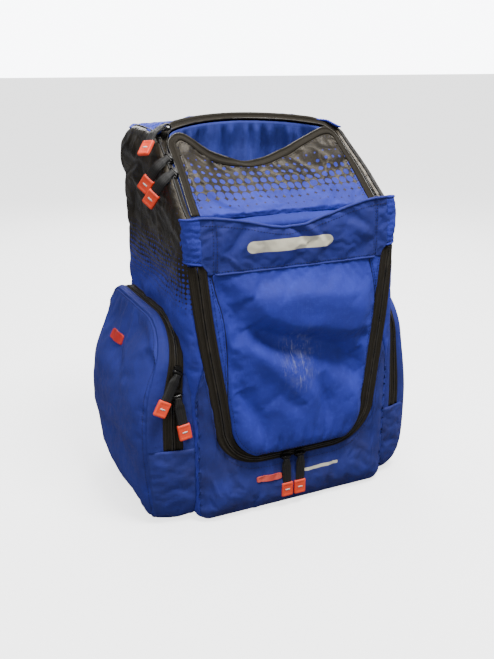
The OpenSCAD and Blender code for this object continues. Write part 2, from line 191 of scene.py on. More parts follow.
def away(q, path):
    """Distance of flat points from a flat line, and how far along it, 0 to 1, the nearest place is."""
    best = np.full(q.shape[:-1], 1e9)
    along = np.zeros(q.shape[:-1])
    path = np.asarray(path, float)
    lengths = run(path)
    for i in range(len(path) - 1):
        a, d = path[i], path[i + 1] - path[i]
        t = np.clip(((q - a) @ d) / max(d @ d, 1e-9), 0, 1)
        dist = np.linalg.norm(q - (a + t[..., None] * d), axis=-1)
        near = dist < best
        best = np.where(near, dist, best)
        along = np.where(near, (lengths[i] + t * (lengths[i + 1] - lengths[i])) / lengths[-1], along)
    return best, along


def crease(q, path, height, width, taper=True):
    """A ridge (height above 0) or valley along a flat line, fading out at its ends."""
    dist, along = away(q, path)
    ends = np.sin(PI * np.clip(along, 0.02, 0.98)) ** 0.5 if taper else 1.0
    return height * ends * np.exp(-((dist / width) ** 2))


def folds(h, q, creases, free=1.0, start=0.0):
    """Heights h with creases added. Each is (height, width, its points), the points counted from start."""
    for height, width, *path in creases:
        h = h + free * crease(q, [(start + a, b) for a, b in path], height, width)
    return h


# ------------------------------------------------------------------ the surfaces that patterns are laid on


def slump(p):
    """How the soft bag bulges and leans away from the straight sides of its pattern."""
    p = np.array(p, float)
    x, y, z = p[..., 0].copy(), p[..., 1].copy(), p[..., 2].copy()
    belly = np.sin(PI * np.clip(z / 470, 0, 1))
    across = smooth(np.abs(x), 90, side_x)
    p[..., 0] += np.sign(x) * 4.0 * belly * across * np.cos(PI * np.clip(y / 280, -0.5, 0.5))
    p[..., 0] -= 11.0 * smooth(z, 385, 490)
    p[..., 0] -= 3.0 * smooth(x, 60, side_x) * smooth(z, 250, 420)
    p[..., 0] -= 10.0 * smooth(x, 70, side_x) * smooth(z, 440, 510)
    left_front = smooth(-x, 40, 130) * smooth(-y, 20, 120)
    p[..., 0] -= 8.0 * left_front * smooth(z, 110, 300) * smooth(-z, -480, -400)
    ahead = smooth(-y, 60, 140)
    p[..., 1] -= 4.0 * belly * ahead * np.cos(PI * np.clip(x / 300, -0.5, 0.5))
    tuck = np.clip(1 - z / 20, 0, 1) ** 2
    p[..., 0] *= 1 - 0.05 * tuck
    p[..., 1] = lerp(p[..., 1], -10.0, 0.05 * tuck)
    return p


def ring(s):
    """Plan point and outward normal at a distance s round the body from the middle of its front."""
    straight = side_x - FRONT_R
    corner = straight + FRONT_R * PI / 2
    side_end = corner + (back_y - BACK_R) - (front_y + FRONT_R)
    back_corner = side_end + BACK_R * PI / 2
    a = np.clip((s - straight) / FRONT_R, 0, PI / 2)
    b = np.clip((s - side_end) / BACK_R, 0, PI / 2)
    x = np.where(s < straight, s, side_x - FRONT_R + FRONT_R * np.sin(a))
    y = np.where(s < corner, front_y + FRONT_R - FRONT_R * np.cos(a), front_y + FRONT_R + s - corner)
    past = s > side_end
    x = np.where(past, side_x - BACK_R + BACK_R * np.cos(b), x)
    y = np.where(past, back_y - BACK_R + BACK_R * np.sin(b), y)
    x = np.where(s > back_corner, side_x - BACK_R - (s - back_corner), x)
    angle = np.where(past, PI / 2 + b, a)
    return x, y, np.sin(angle), -np.cos(angle)


RING_CORNER = side_x - FRONT_R + FRONT_R * PI / 2


def shell(q, h=0.0):
    """Round the body: q is (distance from the front's middle, height)."""
    s, z = q[..., 0], q[..., 1]
    sign = np.where(s < 0, -1.0, 1.0)
    x, y, nx, ny = ring(np.abs(s))
    return slump(np.stack([sign * (x + nx * h), y + ny * h, z + 0 * h], -1))


def lid_sheet(q, h=0.0):
    """On the lid: q is (x, distance up its slope). Below its hinge line the cloth hangs straight down."""
    x, u = q[..., 0], q[..., 1]
    up = np.maximum(u, 0)
    down = np.minimum(u, 0)
    c, s = math.cos(LID_SLOPE), math.sin(LID_SLOPE)
    turn = smooth(u, -8, 8)
    y = lid_hinge[1] + up * c - h * lerp(1.0, s, turn)
    z = lid_hinge[2] + up * s + down + h * c * turn
    return slump(np.stack([x, y, z], -1))


CROWN_RISE = 11.0
CROWN_R = ((side_x - 10) ** 2 + CROWN_RISE**2) / (2 * CROWN_RISE)
ARCH_FOOT = (136.0, -38.0)
ARCH_CREST = 40.0
ARCH_R = (ARCH_FOOT[0] ** 2 + (ARCH_CREST - ARCH_FOOT[1]) ** 2) / (2 * (ARCH_CREST - ARCH_FOOT[1]))
ARCH_CY = ARCH_CREST - ARCH_R


def crown(x):
    return body_h - CROWN_R + np.sqrt(CROWN_R**2 - np.clip(np.abs(x), 0, 180) ** 2)


YOKE_EDGE, YOKE_ROLL = 104.0, 15.0


def top_sheet(q, h=0.0):
    """On the yoke: q is (x, y). It falls away behind the arch and rolls down at its rear edge."""
    edge_y, roll = YOKE_EDGE, YOKE_ROLL
    x, y = q[..., 0], q[..., 1]
    ay = np.clip((y - edge_y) / roll, 0, PI / 2)
    down = np.maximum(y - edge_y - roll * PI / 2, 0)
    behind = y - (ARCH_CY + np.sqrt(np.clip((ARCH_R + 6) ** 2 - x**2, 0, None)))
    fall = 15 * smooth(behind, 6, 80) * np.cos(PI * np.clip(x / 300, -0.5, 0.5)) + 3 * smooth(behind, 0, 20)
    py = np.where(y > edge_y, edge_y + (roll + h) * np.sin(ay), y)
    z = crown(x) - fall + h * np.cos(ay) - roll * (1 - np.cos(ay)) - down
    return slump(np.stack([x, py, z], -1))


TOP_FRONT_R, TOP_REAR_R, FOOT_FRONT_R, FOOT_REAR_R = 58.0, 40.0, 16.0, 56.0


def pocket_loop():
    """The side pocket's outline in (y, z), from the middle of its floor round by the front."""
    y0, y1, h = pocket_front, pocket_rear, pocket_h
    pts = np.vstack([
        [[0, 0]],
        arc(y0 + FOOT_FRONT_R, FOOT_FRONT_R, FOOT_FRONT_R, 270, 180, 8),
        arc(y0 + TOP_FRONT_R, h - TOP_FRONT_R, TOP_FRONT_R, 180, 90, 20),
        arc(y1 - TOP_REAR_R, h - TOP_REAR_R, TOP_REAR_R, 90, 0, 16),
        arc(y1 - FOOT_REAR_R, FOOT_REAR_R, FOOT_REAR_R, 0, -90, 16),
        [[0, 0]],
    ])
    return resample(pts, 1.5)


LOOP = pocket_loop()
LOOP_S = run(LOOP)
LOOP_T = tangents(LOOP)
LOOP_N = np.stack([-LOOP_T[:, 1], LOOP_T[:, 0]], -1)


def loop_at(s):
    place = between(s, LOOP_S, LOOP)
    return place[..., 0], place[..., 1], unit(between(s, LOOP_S, LOOP_N))


def loop_s(y, z):
    """Distance round the loop of the outline point nearest to (y, z)."""
    return LOOP_S[np.argmin(np.hypot(LOOP[:, 0] - y, LOOP[:, 1] - z))]


def swell(side, p):
    """How a side pocket's full cloth box bulges and tapers."""
    p = np.array(p, float)
    x, y, z = p[..., 0].copy(), p[..., 1].copy(), p[..., 2].copy()
    out = np.abs(x) - pocket_in
    full = pocket_out - pocket_in
    if side < 0:
        depth = full + 9 * bump(z, 116, 84) - 22 * smooth(z, 165, 276) - 3 * np.clip(1 - z / 60, 0, 1) ** 2
        depth = depth - 3 * smooth(y, 20, 112) * smooth(z, 120, 20)
    else:
        depth = full - 8 + bump(z, 100, 70) - 18 * smooth(z, 120, 276)
        depth = depth - 15 * np.clip(1 - z / 70, 0, 1) ** 2
    p[..., 0] = side * (pocket_in + out * depth / full)
    inward = 1 - np.clip(out / full, 0, 1)
    p[..., 1] -= 15 * inward * smooth(-y, 40, 112)
    swing = bump(z, 95, 90)
    p[..., 1] += 9 * smooth(y, 30, 112) * swing - 3 * smooth(-y, 40, 112) * swing
    p[..., 1] = lerp(p[..., 1], 0.0, 0.10 * np.clip(1 - z / 40, 0, 1) ** 2)
    return p


def gusset_sheet(side):
    """Round a pocket's edge: q is (|x|, distance round the loop)."""

    def lay(q, h=0.0):
        y, z, n = loop_at(q[..., 1])
        return swell(side, np.stack([side * q[..., 0], y + n[..., 0] * h, z + n[..., 1] * h], -1))

    return lay


def face_sheet(side):
    """A pocket's outer face: q is (y, z)."""

    def lay(q, h=0.0):
        return swell(side, np.stack([side * (pocket_out + h + 0 * q[..., 0]), q[..., 0], q[..., 1]], -1))

    return lay


# ------------------------------------------------------------------ meshes


def to_object(name, verts, faces, uv=None):
    mesh = bpy.data.meshes.new(name)
    mesh.from_pydata((np.asarray(verts) / 1000).tolist(), [], [list(f) for f in faces])
    if uv is not None:
        layer = mesh.uv_layers.new(name="UVMap")
        index = np.zeros(len(mesh.loops), int)
        mesh.loops.foreach_get("vertex_index", index)
        layer.data.foreach_set("uv", (np.asarray(uv)[index] / 1000).ravel())
    mesh.polygons.foreach_set("use_smooth", [True] * len(mesh.polygons))
    mesh.update()
    obj = bpy.data.objects.new(name, mesh)
    bpy.context.scene.collection.objects.link(obj)
    return obj


def grid_faces(n, m, loop=False, flip=False):
    faces = []
    last = m if loop else m - 1
    for i in range(n - 1):
        for j in range(last):
            k = (j + 1) % m
            f = (i * m + j, i * m + k, (i + 1) * m + k, (i + 1) * m + j)
            faces.append(f[::-1] if flip else f)
    return faces


def tube_faces(n, m, base=0):
    """A closed tube of n rings of m points each, capped at both ends."""
    faces = grid_faces(n, m, loop=True)
    faces += [tuple(range(m))[::-1], tuple((n - 1) * m + k for k in range(m))]
    return [tuple(base + k for k in face) for face in faces]


def coords(obj):
    co = np.zeros(len(obj.data.vertices) * 3)
    obj.data.vertices.foreach_get("co", co)
    return co.reshape(-1, 3)


def set_coords(obj, co):
    obj.data.vertices.foreach_set("co", np.asarray(co, float).ravel())
    obj.data.update()


def thicken(obj, t, rim=True, offset=-1):
    mod = obj.modifiers.new("thickness", "SOLIDIFY")
    mod.thickness = t / 1000
    mod.offset = offset
    mod.use_rim = rim
    return obj


def attribute(obj, name, values):
    a = obj.data.attributes.new(name, "FLOAT", "POINT")
    a.data.foreach_set("value", np.asarray(values, np.float32).ravel())


def settle(obj, pinned, slack=0.02, pressure=0.6, cap=5.0, bend=0.6, frames=13):
    """Cloth lets a panel buckle as sewn cloth does: its edge is pinned and its weave is a little too long."""
    start = coords(obj)
    group = obj.vertex_groups.new(name="pin")
    group.add([int(i) for i in np.flatnonzero(pinned)], 1.0, "REPLACE")
    mod = obj.modifiers.new("cloth", "CLOTH")
    s = mod.settings
    s.quality = 3
    s.mass = 0.2
    s.air_damping = 4
    s.tension_stiffness = s.compression_stiffness = 12
    s.shear_stiffness = 6
    s.bending_stiffness = bend
    s.tension_damping = s.compression_damping = s.shear_damping = 8
    s.vertex_group_mass = "pin"
    s.shrink_min = s.shrink_max = -slack
    s.use_pressure = True
    s.uniform_pressure_force = pressure
    s.effector_weights.gravity = 0
    mod.collision_settings.use_collision = False
    mod.point_cache.frame_start = 1
    mod.point_cache.frame_end = frames
    scene = bpy.context.scene
    for f in range(1, frames + 1):
        scene.frame_set(f)
    settled = coords(obj.evaluated_get(bpy.context.evaluated_depsgraph_get()))
    obj.modifiers.remove(mod)
    obj.vertex_groups.remove(group)
    scene.frame_set(1)
    move = settled - start
    size = np.linalg.norm(move, axis=1, keepdims=True)
    limit = cap / 1000
    move *= limit * np.tanh(size / limit) / np.maximum(size, 1e-9)
    set_coords(obj, start + np.nan_to_num(move))


class Patch:
    """A sewn panel: flat pattern points q (n, m, 2) laid on a surface at heights h (n, m)."""

    def __init__(self, name, q, lay, h, flip=False):
        self.n, self.m = q.shape[:2]
        self.q = q.reshape(-1, 2)
        self.name = name
        self.faces = grid_faces(self.n, self.m, flip=flip)
        points = lay(q, h).reshape(-1, 3)
        self.obj = to_object(name, points, self.faces, uv=self.q)
        edge = np.zeros((self.n, self.m), bool)
        edge[0] = edge[-1] = True
        edge[:, 0] = edge[:, -1] = True
        self.edge = edge.ravel()
        self.flat = None

    def settle(self, pin=None, **kw):
        pinned = self.edge if pin is None else (self.edge | pin.ravel())
        settle(self.obj, pinned, **kw)
        self.flat = None
        return self

    def wear(self, rows):
        """Marks the edge of the panel, where cloth wears pale, fading inwards over a few grid rows."""
        i = np.arange(self.n)[:, None]
        j = np.arange(self.m)[None, :]
        d = np.minimum(np.minimum(i, self.n - 1 - i), np.minimum(j, self.m - 1 - j))
        attribute(self.obj, "wear", np.clip(1 - d / rows, 0, 1))
        return self

    def at(self, q, lift=0.0):
        """Where flat points q lie on the finished panel, and the normals there, in mm."""
        if self.flat is None:
            flat = [Vector((a, b, 0)) for a, b in self.q]
            self.flat = BVHTree.FromPolygons(flat, self.faces)
            self.co = coords(self.obj) * 1000
            mesh = self.obj.data
            nrm = np.zeros(len(mesh.vertices) * 3)
            mesh.vertices.foreach_get("normal", nrm)
            self.nrm = nrm.reshape(-1, 3)
        out, normals = [], []
        for a, b in np.asarray(q, float):
            hit, _, index, _ = self.flat.find_nearest(Vector((a, b, 0)))
            ids = self.faces[index]
            w = 1 / (np.linalg.norm(self.q[list(ids)] - np.array([hit.x, hit.y]), axis=1) + 1e-4) ** 2
            n = unit((self.nrm[list(ids)] * w[:, None]).sum(0))
            p = None
            for tri in ((0, 1, 2), (0, 2, 3)):
                src = [Vector((*self.q[ids[k]], 0)) for k in tri]
                v = [Vector(self.co[ids[k]]) for k in tri]
                area = (src[1] - src[0]).cross(src[2] - src[0])
                if abs(area.z) < 1e-9:
                    continue
                cand = barycentric_transform(Vector((hit.x, hit.y, 0)), *src, *v)
                inside = all(
                    (src[(k + 1) % 3] - src[k]).cross(Vector((hit.x, hit.y, 0)) - src[k]).z * area.z >= -1e-3
                    for k in range(3)
                )
                if p is None or inside:
                    p = cand
            out.append(np.array(p) + n * lift)
            normals.append(n)
        return np.array(out), np.array(normals)


def sweep(name, path, side, up, profile, close=False):
    """A profile of (across, above) points carried along a line."""
    profile = np.asarray(profile, float)
    pts = path[:, None] + side[:, None] * profile[None, :, :1] + up[:, None] * profile[None, :, 1:]
    n, m = pts.shape[:2]
    faces = tube_faces(n, m) if close else grid_faces(n, m)
    uv = np.stack(np.meshgrid(run(path), run(profile), indexing="ij"), -1).reshape(-1, 2)
    return to_object(name, pts.reshape(-1, 3), faces, uv=uv)


def circle(r, n=8, squash=1.0):
    a = np.linspace(0, 2 * PI, n, endpoint=False)
    return np.stack([r * np.cos(a), r * squash * np.sin(a)], -1)


def cord(name, path, normals, r, n=8, squash=1.0):
    """A round cord, such as piping, along a line."""
    t = tangents(path)
    side = unit(np.cross(normals, t))
    up = unit(np.cross(t, side))
    return sweep(name, path, side, up, circle(r, n, squash), close=True)


def join(name, objs):
    with bpy.context.temp_override(
        active_object=objs[0], object=objs[0], selected_objects=objs, selected_editable_objects=objs
    ):
        bpy.ops.object.join()
    objs[0].name = name
    objs[0].data.name = name
    return objs[0]


def stitches(name, path, normals, length=2.6, pitch=4.0, r=0.34, lift=0.1):
    """A run of thread stitches lying on a line, as one mesh."""
    s = run(path)
    starts = np.arange(0.5, s[-1] - length, pitch)
    ts = np.array([0.0, 0.18, 0.5, 0.82, 1.0])
    rise = np.array([-0.25, 0.12, 0.22, 0.12, -0.25])
    fat = np.array([0.55, 1.0, 1.1, 1.0, 0.55])
    verts, faces = [], []
    ring_pts = circle(1.0, 6)
    for s0 in starts:
        t = s0 + ts * length
        p = between(t, s, path)
        n = unit(between(t, s, normals))
        tan = unit(p[-1] - p[0])[None].repeat(5, 0)
        side = unit(np.cross(n, tan))
        c = p + n * (rise[:, None] + lift)
        pts = c[:, None] + r * fat[:, None, None] * (
            side[:, None] * ring_pts[None, :, :1] + n[:, None] * ring_pts[None, :, 1:]
        )
        faces += tube_faces(5, 6, len(verts))
        verts.extend(pts.reshape(-1, 3))
    return to_object(name, verts, faces)


# ------------------------------------------------------------------ materials


def add(tree, kind, inputs=None, **attrs):
    node = tree.nodes.new(kind)
    for k, v in attrs.items():
        setattr(node, k, v)
    for k, v in (inputs or {}).items():
        if isinstance(v, bpy.types.NodeSocket):
            tree.links.new(v, node.inputs[k])
        elif v is not None:
            node.inputs[k].default_value = v
    return node


class Paint:
    """A node tree with short names for the nodes that these materials use."""

    def __init__(self, name):
        self.mat = bpy.data.materials.new(name)
        self.mat.use_nodes = True
        self.t = self.mat.node_tree
        self.t.nodes.clear()
        self.bsdf = add(self.t, "ShaderNodeBsdfPrincipled")
        add(self.t, "ShaderNodeOutputMaterial", {0: self.bsdf.outputs[0]})

    def math(self, op, a, b=None):
        return add(self.t, "ShaderNodeMath", {0: a, 1: b}, operation=op).outputs[0]

    def plus(self, a, b):
        return self.math("ADD", a, b)

    def minus(self, a, b):
        return self.math("SUBTRACT", a, b)

    def mul(self, a, b):
        return self.math("MULTIPLY", a, b)

    def over(self, a, b):
        return self.math("DIVIDE", a, b)

    def size(self, a):
        return self.math("ABSOLUTE", a)

    def length(self, a, b):
        return self.math("SQRT", self.plus(self.math("POWER", a, 2.0), self.math("POWER", b, 2.0)))

    def cell(self, a, pitch):
        """Where a lies within its own cell, from -0.5 to 0.5."""
        return self.minus(self.math("FRACT", self.over(a, pitch)), 0.5)

    def wave(self, a, pitch):
        return self.math("SINE", self.mul(a, 2 * PI / pitch))

    def halve(self, a):
        """A value of -1 to 1 as one of 0 to 1, by the third input's own 0.5."""
        return self.math("MULTIPLY_ADD", a, 0.5)

    def uv(self):
        return add(self.t, "ShaderNodeUVMap", uv_map="UVMap").outputs[0]

    def object_co(self):
        return add(self.t, "ShaderNodeTexCoord").outputs["Object"]

    def split(self, co):
        s = add(self.t, "ShaderNodeSeparateXYZ", {0: co})
        return s.outputs[0], s.outputs[1], s.outputs[2]

    def noise(self, co, scale, detail=3, rough=0.55):
        inputs = {"Vector": co, "Scale": scale, "Detail": detail, "Roughness": rough}
        return add(self.t, "ShaderNodeTexNoise", inputs).outputs[0]

    def step(self, x, a, b, lo=0.0, hi=1.0):
        inputs = {0: x, 1: a, 2: b, 3: lo, 4: hi}
        return add(self.t, "ShaderNodeMapRange", inputs, interpolation_type="SMOOTHSTEP").outputs[0]

    def mix(self, f, a, b):
        return add(self.t, "ShaderNodeMix", {0: f, 6: a, 7: b}, data_type="RGBA").outputs[2]

    def mixf(self, f, a, b):
        return add(self.t, "ShaderNodeMix", {0: f, 2: a, 3: b}, data_type="FLOAT").outputs[0]

    def bump(self, height, distance, strength):
        inputs = {"Height": height, "Distance": distance, "Strength": strength}
        return add(self.t, "ShaderNodeBump", inputs).outputs[0]

    def weave(self, u, v, pitch):
        """Threads over and under, as a height of 0 to 1."""
        return self.halve(self.mul(self.wave(u, pitch), self.wave(v, pitch)))

    def set(self, **kw):
        for k, v in kw.items():
            key = k.replace("_", " ").title().replace("Ior", "IOR")
            socket = self.bsdf.inputs[key]
            if isinstance(v, bpy.types.NodeSocket):
                self.t.links.new(v, socket)
            else:
                socket.default_value = v
        return self


def rgb(r, g, b):
    """An sRGB colour, 0 to 255, as the linear colour that nodes take."""
    c = np.array([r, g, b]) / 255
    return (*np.where(c <= 0.04045, c / 12.92, ((c + 0.055) / 1.055) ** 2.4), 1.0)


BLUE, BLUE_PALE, BLUE_DEEP = rgb(48, 58, 170), rgb(72, 85, 195), rgb(42, 49, 143)
CREAM = rgb(226, 220, 196)


def woven(name, base, pale, deep, pitch=0.0009, grid=0.0062, print_box=None, scuff=None, grime=0.0):
    """Nylon cloth: plain weave with a faint check of thicker threads, dye that varies, worn edges.

    print_box is (u, v, half width, half height, radius) of one plain printed bar, in metres of pattern.
    scuff is (u, v, radius u, radius v) of a patch of dry scratches. grime is how far noise patches are
    darkened towards a grey navy: painted shade for the duller, less-lit panels.
    """
    p = Paint(name)
    uv = p.uv()
    u, v, _ = p.split(uv)
    fine = p.weave(u, v, pitch)
    check = p.math("MAXIMUM", *[p.step(p.size(p.cell(c, grid)), 0.40, 0.5) for c in (u, v)])
    big = p.noise(uv, 14, 3)
    small = p.noise(uv, 160, 4, 0.65)
    colour = p.mix(p.step(big, 0.25, 0.75), deep, base)
    colour = p.mix(p.mul(p.step(small, 0.45, 0.75), 0.30), colour, pale)
    colour = p.mix(p.mul(fine, 0.10), colour, pale)
    wear = add(p.t, "ShaderNodeAttribute", attribute_name="wear").outputs["Fac"]
    rub = p.mul(wear, p.step(p.noise(uv, 60, 4, 0.7), 0.4, 0.7))
    colour = p.mix(p.mul(rub, 0.35), colour, pale)
    # painted shade: noise patches are pulled towards a dark grey navy, standing in for the dull shade of the
    # less-lit panels
    if grime:
        shade_patches = p.step(p.noise(uv, 22, 4, 0.6), 0.25, 0.7, grime * 0.6, grime)
        colour = p.mix(shade_patches, colour, rgb(42, 45, 62))
    rough = p.step(small, 0.3, 0.8, 0.62, 0.86)
    if scuff:
        su, sv, ru, rv = scuff
        du = p.over(p.minus(u, su), ru)
        dv = p.over(p.minus(v, sv), rv)
        near = p.step(p.length(du, dv), 1.0, 0.1)
        drawn_out = {"Vector": uv, "Scale": (330, 46, 1), "Rotation": (0, 0, 0.10)}
        streak_co = add(p.t, "ShaderNodeMapping", drawn_out).outputs[0]
        streak = p.step(p.noise(streak_co, 1.0, 5, 0.75), 0.52, 0.72)
        mark = p.mul(streak, near)
        dust = p.mul(p.step(p.noise(uv, 70, 4, 0.7), 0.4, 0.75), p.mul(near, 0.30))
        colour = p.mix(dust, colour, rgb(150, 154, 176))
        colour = p.mix(p.mul(mark, 0.6), colour, rgb(190, 194, 210))
        rough = p.mixf(mark, rough, 0.95)
    if print_box:
        pu, pv, hw, hh, r = print_box
        dx = p.math("MAXIMUM", p.minus(p.size(p.minus(u, pu)), hw - r), 0.0)
        dy = p.math("MAXIMUM", p.minus(p.size(p.minus(v, pv)), hh - r), 0.0)
        crack = p.step(p.noise(uv, 420, 5, 0.8), 0.28, 0.36)
        ink = p.mul(p.step(p.length(dx, dy), r + 0.0003, r - 0.0003), crack)
        colour = p.mix(ink, colour, CREAM)
        rough = p.mixf(ink, rough, 0.45)
    height = p.plus(p.mul(fine, 0.6), p.mul(check, 0.35))
    height = p.plus(height, p.mul(small, 0.5))
    p.set(base_color=colour, roughness=rough, sheen_weight=0.12, sheen_roughness=0.45, sheen_tint=pale,
          specular_ior_level=0.25, normal=p.bump(height, 0.00022, 0.9))
    return p.mat


def coated(name, zero, one, pitch=0.0106, wave=0.006, gloss=0.0):
    """Black coating over blue cloth that fades out downwards as a halftone: blue dots grow until only
    black specks are left. zero and one are the pattern heights where it is all blue and all black, and
    gloss is how shiny the coating is."""
    p = Paint(name)
    uv = p.uv()
    u, v, _ = p.split(uv)
    sway = p.mul(p.minus(p.noise(uv, 9, 1), 0.5), wave * 4)
    rise = p.minus(p.plus(v, sway), zero)
    level = p.over(rise, one - zero)
    d = p.length(p.cell(u, pitch), p.cell(v, pitch))
    radius = p.math("MULTIPLY_ADD", p.minus(1.0, level), 0.66)
    radius.node.inputs[2].default_value = 0.055
    radius = p.mixf(p.math("GREATER_THAN", level, 1.0), radius, -1.0)
    black = p.step(p.minus(d, radius), -0.025, 0.025)
    chips = p.step(p.noise(uv, 900, 3, 0.7), 0.30, 0.36)
    black = p.mul(black, chips)
    fine = p.weave(u, v, 0.0009)
    small = p.noise(uv, 220, 4, 0.65)
    big = p.noise(uv, 26, 3)
    blue = p.mix(p.mul(fine, 0.12), p.mix(p.step(big, 0.35, 0.7), BLUE_DEEP, BLUE), BLUE_PALE)
    dark = p.mix(p.step(big, 0.4, 0.75), rgb(26, 23, 18), rgb(52, 46, 36))
    wear = add(p.t, "ShaderNodeAttribute", attribute_name="wear").outputs["Fac"]
    rub = p.mul(wear, p.step(p.noise(uv, 90, 4, 0.7), 0.42, 0.7))
    dark = p.mix(p.mul(rub, 0.2), dark, rgb(84, 76, 62))
    matt = p.step(small, 0.3, 0.8, 0.62, 0.85)
    rough = p.mixf(black, matt, p.step(small, 0.3, 0.8, 0.41 - gloss, 0.55 - gloss))
    fold = p.size(p.minus(p.noise(uv, 21, 2, 0.5), 0.5))
    ridge = p.mul(p.step(fold, 0.07, 0.0), 3.5)
    height = p.mixf(black, p.plus(p.mul(fine, 0.7), small),
                    p.plus(p.mul(fine, 0.25), p.mul(small, 0.8)))
    height = p.plus(height, p.mul(ridge, black))
    p.set(base_color=p.mix(black, blue, dark), roughness=rough, specular_ior_level=p.mixf(black, 0.3, 0.34),
          specular_tint=p.mix(black, (1, 1, 1, 1), (1.0, 0.90, 0.76, 1)), normal=p.bump(height, 0.0002, 0.9))
    return p.mat


def ribbed(name, dark, pale, pitch, rough=0.6, shine=0.4):
    """Webbing or tape: ribs across its length, with a fuzzy thread texture."""
    p = Paint(name)
    uv = p.uv()
    u, v, _ = p.split(uv)
    rib = p.halve(p.wave(u, pitch))
    cross = p.halve(p.wave(v, 2 * pitch))
    small = p.noise(uv, 500, 4, 0.7)
    colour = p.mix(p.mul(p.mul(rib, cross), 0.55), dark, pale)
    colour = p.mix(p.mul(p.step(small, 0.5, 0.8), 0.35), colour, pale)
    height = p.plus(p.mul(rib, cross), p.mul(small, 0.4))
    p.set(base_color=colour, roughness=p.step(small, 0.3, 0.8, rough - 0.1, rough + 0.15),
          specular_ior_level=shine, sheen_weight=0.03, normal=p.bump(height, 0.00025, 0.9))
    return p.mat


def moulded(name, base, dark, rough=0.42, grain=900, depth=0.00006, metallic=0.0, coat=0.0):
    """A moulded or cast surface with fine grain, handling marks and random patches of a darker tone."""
    p = Paint(name)
    co = p.object_co()
    small = p.noise(co, grain, 3, 0.6)
    big = p.noise(co, 60, 3, 0.6)
    colour = p.mix(p.step(big, 0.35, 0.75), dark, base)
    p.set(base_color=colour, roughness=p.step(big, 0.3, 0.75, rough - 0.08, rough + 0.14), metallic=metallic,
          coat_weight=coat, normal=p.bump(p.plus(small, p.mul(big, 1.5)), depth, 0.8))
    return p.mat


def spacer_mesh(name, dark, pale):
    """Open hexagon-like holes of spacer mesh over foam."""
    p = Paint(name)
    co = p.object_co()
    cells = add(p.t, "ShaderNodeTexVoronoi", {"Vector": co, "Scale": 330.0, "Randomness": 0.25})
    # painted shade: the open cells are coloured near black for the shadow inside each hole, which is only a
    # bump here
    hole = p.step(cells.outputs["Distance"], 0.42, 0.20)
    small = p.noise(co, 900, 3, 0.6)
    colour = p.mix(hole, p.mix(p.step(small, 0.4, 0.7), dark, pale), rgb(10, 10, 11))
    height = p.minus(p.mul(small, 0.2), hole)
    p.set(base_color=colour, roughness=0.82, sheen_weight=0.2, normal=p.bump(height, 0.0006, 0.9))
    return p.mat


def royal(tag, **kw):
    return woven("royal_nylon" + tag, BLUE, BLUE_PALE, BLUE_DEEP, **kw)


MATS = {
    "blue": royal(""),
    "door": royal("_door", scuff=(-0.006, 0.222, 0.046, 0.058)),
    # the last number on the apron, band, pocket and gusset cloths is painted shade, darkening them as
    # less-lit cloth
    "apron": royal("_apron", print_box=(0.036, 0.050, 0.028, 0.0022, 0.0021), grime=0.62),
    "band": royal("_band", print_box=(-0.018, 0.3725, 0.058, 0.0075, 0.0074), grime=0.5),
    "pocket": royal("_pocket", grime=0.45),
    "gusset": royal("_gusset", grime=0.6),
    "lining": woven("lining_nylon", rgb(60, 72, 166), rgb(80, 94, 188), rgb(40, 48, 118), pitch=0.0007),
    "navy": woven("lining_navy", rgb(34, 44, 104), rgb(50, 62, 128), rgb(26, 34, 80), pitch=0.0007),
    "side": coated("coated_side", 0.285, 0.375, pitch=0.0064, gloss=0.14),
    "lid": coated("coated_lid", -0.004, 0.092, pitch=0.0113),
    "tape": ribbed("zip_tape", rgb(32, 28, 21), rgb(61, 54, 41), pitch=0.0010, rough=0.74, shine=0.18),
    "coil": moulded("zip_coil", rgb(60, 54, 44), rgb(34, 31, 26), rough=0.34),
    "web": ribbed("black_webbing", rgb(17, 16, 15), rgb(42, 40, 37), pitch=0.0013),
    "thread": moulded("thread", rgb(20, 28, 84), rgb(14, 18, 58), rough=0.7, grain=2500),
    "thread_dark": moulded("thread_dark", rgb(22, 22, 24), rgb(12, 12, 14), rough=0.7, grain=2500),
    "metal": moulded("black_metal", rgb(44, 42, 40), rgb(22, 21, 20), rough=0.30, metallic=0.7, coat=0.2),
    "rubber": moulded("orange_rubber", rgb(255, 86, 46), rgb(246, 70, 36), rough=0.5, grain=1400),
    "coral": moulded("coral_label", rgb(226, 92, 78), rgb(206, 74, 62), rough=0.5, grain=1400),
    "red": moulded("red_label", rgb(222, 54, 44), rgb(198, 40, 34), rough=0.5, grain=1400),
    "ink": moulded("white_ink", rgb(236, 232, 226), rgb(214, 208, 200), rough=0.5),
    "mesh": spacer_mesh("spacer_mesh", rgb(34, 34, 36), rgb(60, 60, 63)),
    "binding": ribbed("edge_binding", rgb(24, 24, 25), rgb(50, 49, 48), pitch=0.0009),
    "plastic": moulded("black_acetal", rgb(34, 34, 35), rgb(22, 22, 23), rough=0.4),
    "board": moulded("stiffener_sheet", rgb(214, 213, 206), rgb(196, 195, 188), rough=0.55, grain=500),
    "pipe": moulded("piping", rgb(92, 108, 176), rgb(58, 74, 140), rough=0.55, grain=1800),
}


def bend(body, start, end):
    """What finish_piece takes for cloth meant to start following body at start and fully follow it at end;
    finish_piece does not use it, so the cloth only stays where it is.
    """
    return ("pack", body, tuple(v / 1000 for v in start), tuple(v / 1000 for v in end))


def finish_piece(obj, mat, body, replaces=()):
    """Gives a piece its material and hides the CAD parts it replaces. body is the name of what it rides on,
    and the piece is parented to that body's empty; for cloth it may be a bend instead, which is not used: the
    piece is only fixed where it stands.
    """
    co = coords(obj)
    co[:, 2] = np.maximum(co[:, 2], 0)
    set_coords(obj, co)
    obj.data.materials.clear()
    obj.data.materials.append(MATS[mat])
    if replaces:
        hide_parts(*replaces)
    if isinstance(body, str):
        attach(obj, body)
    else:
        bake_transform(obj)


# ------------------------------------------------------------------ zips


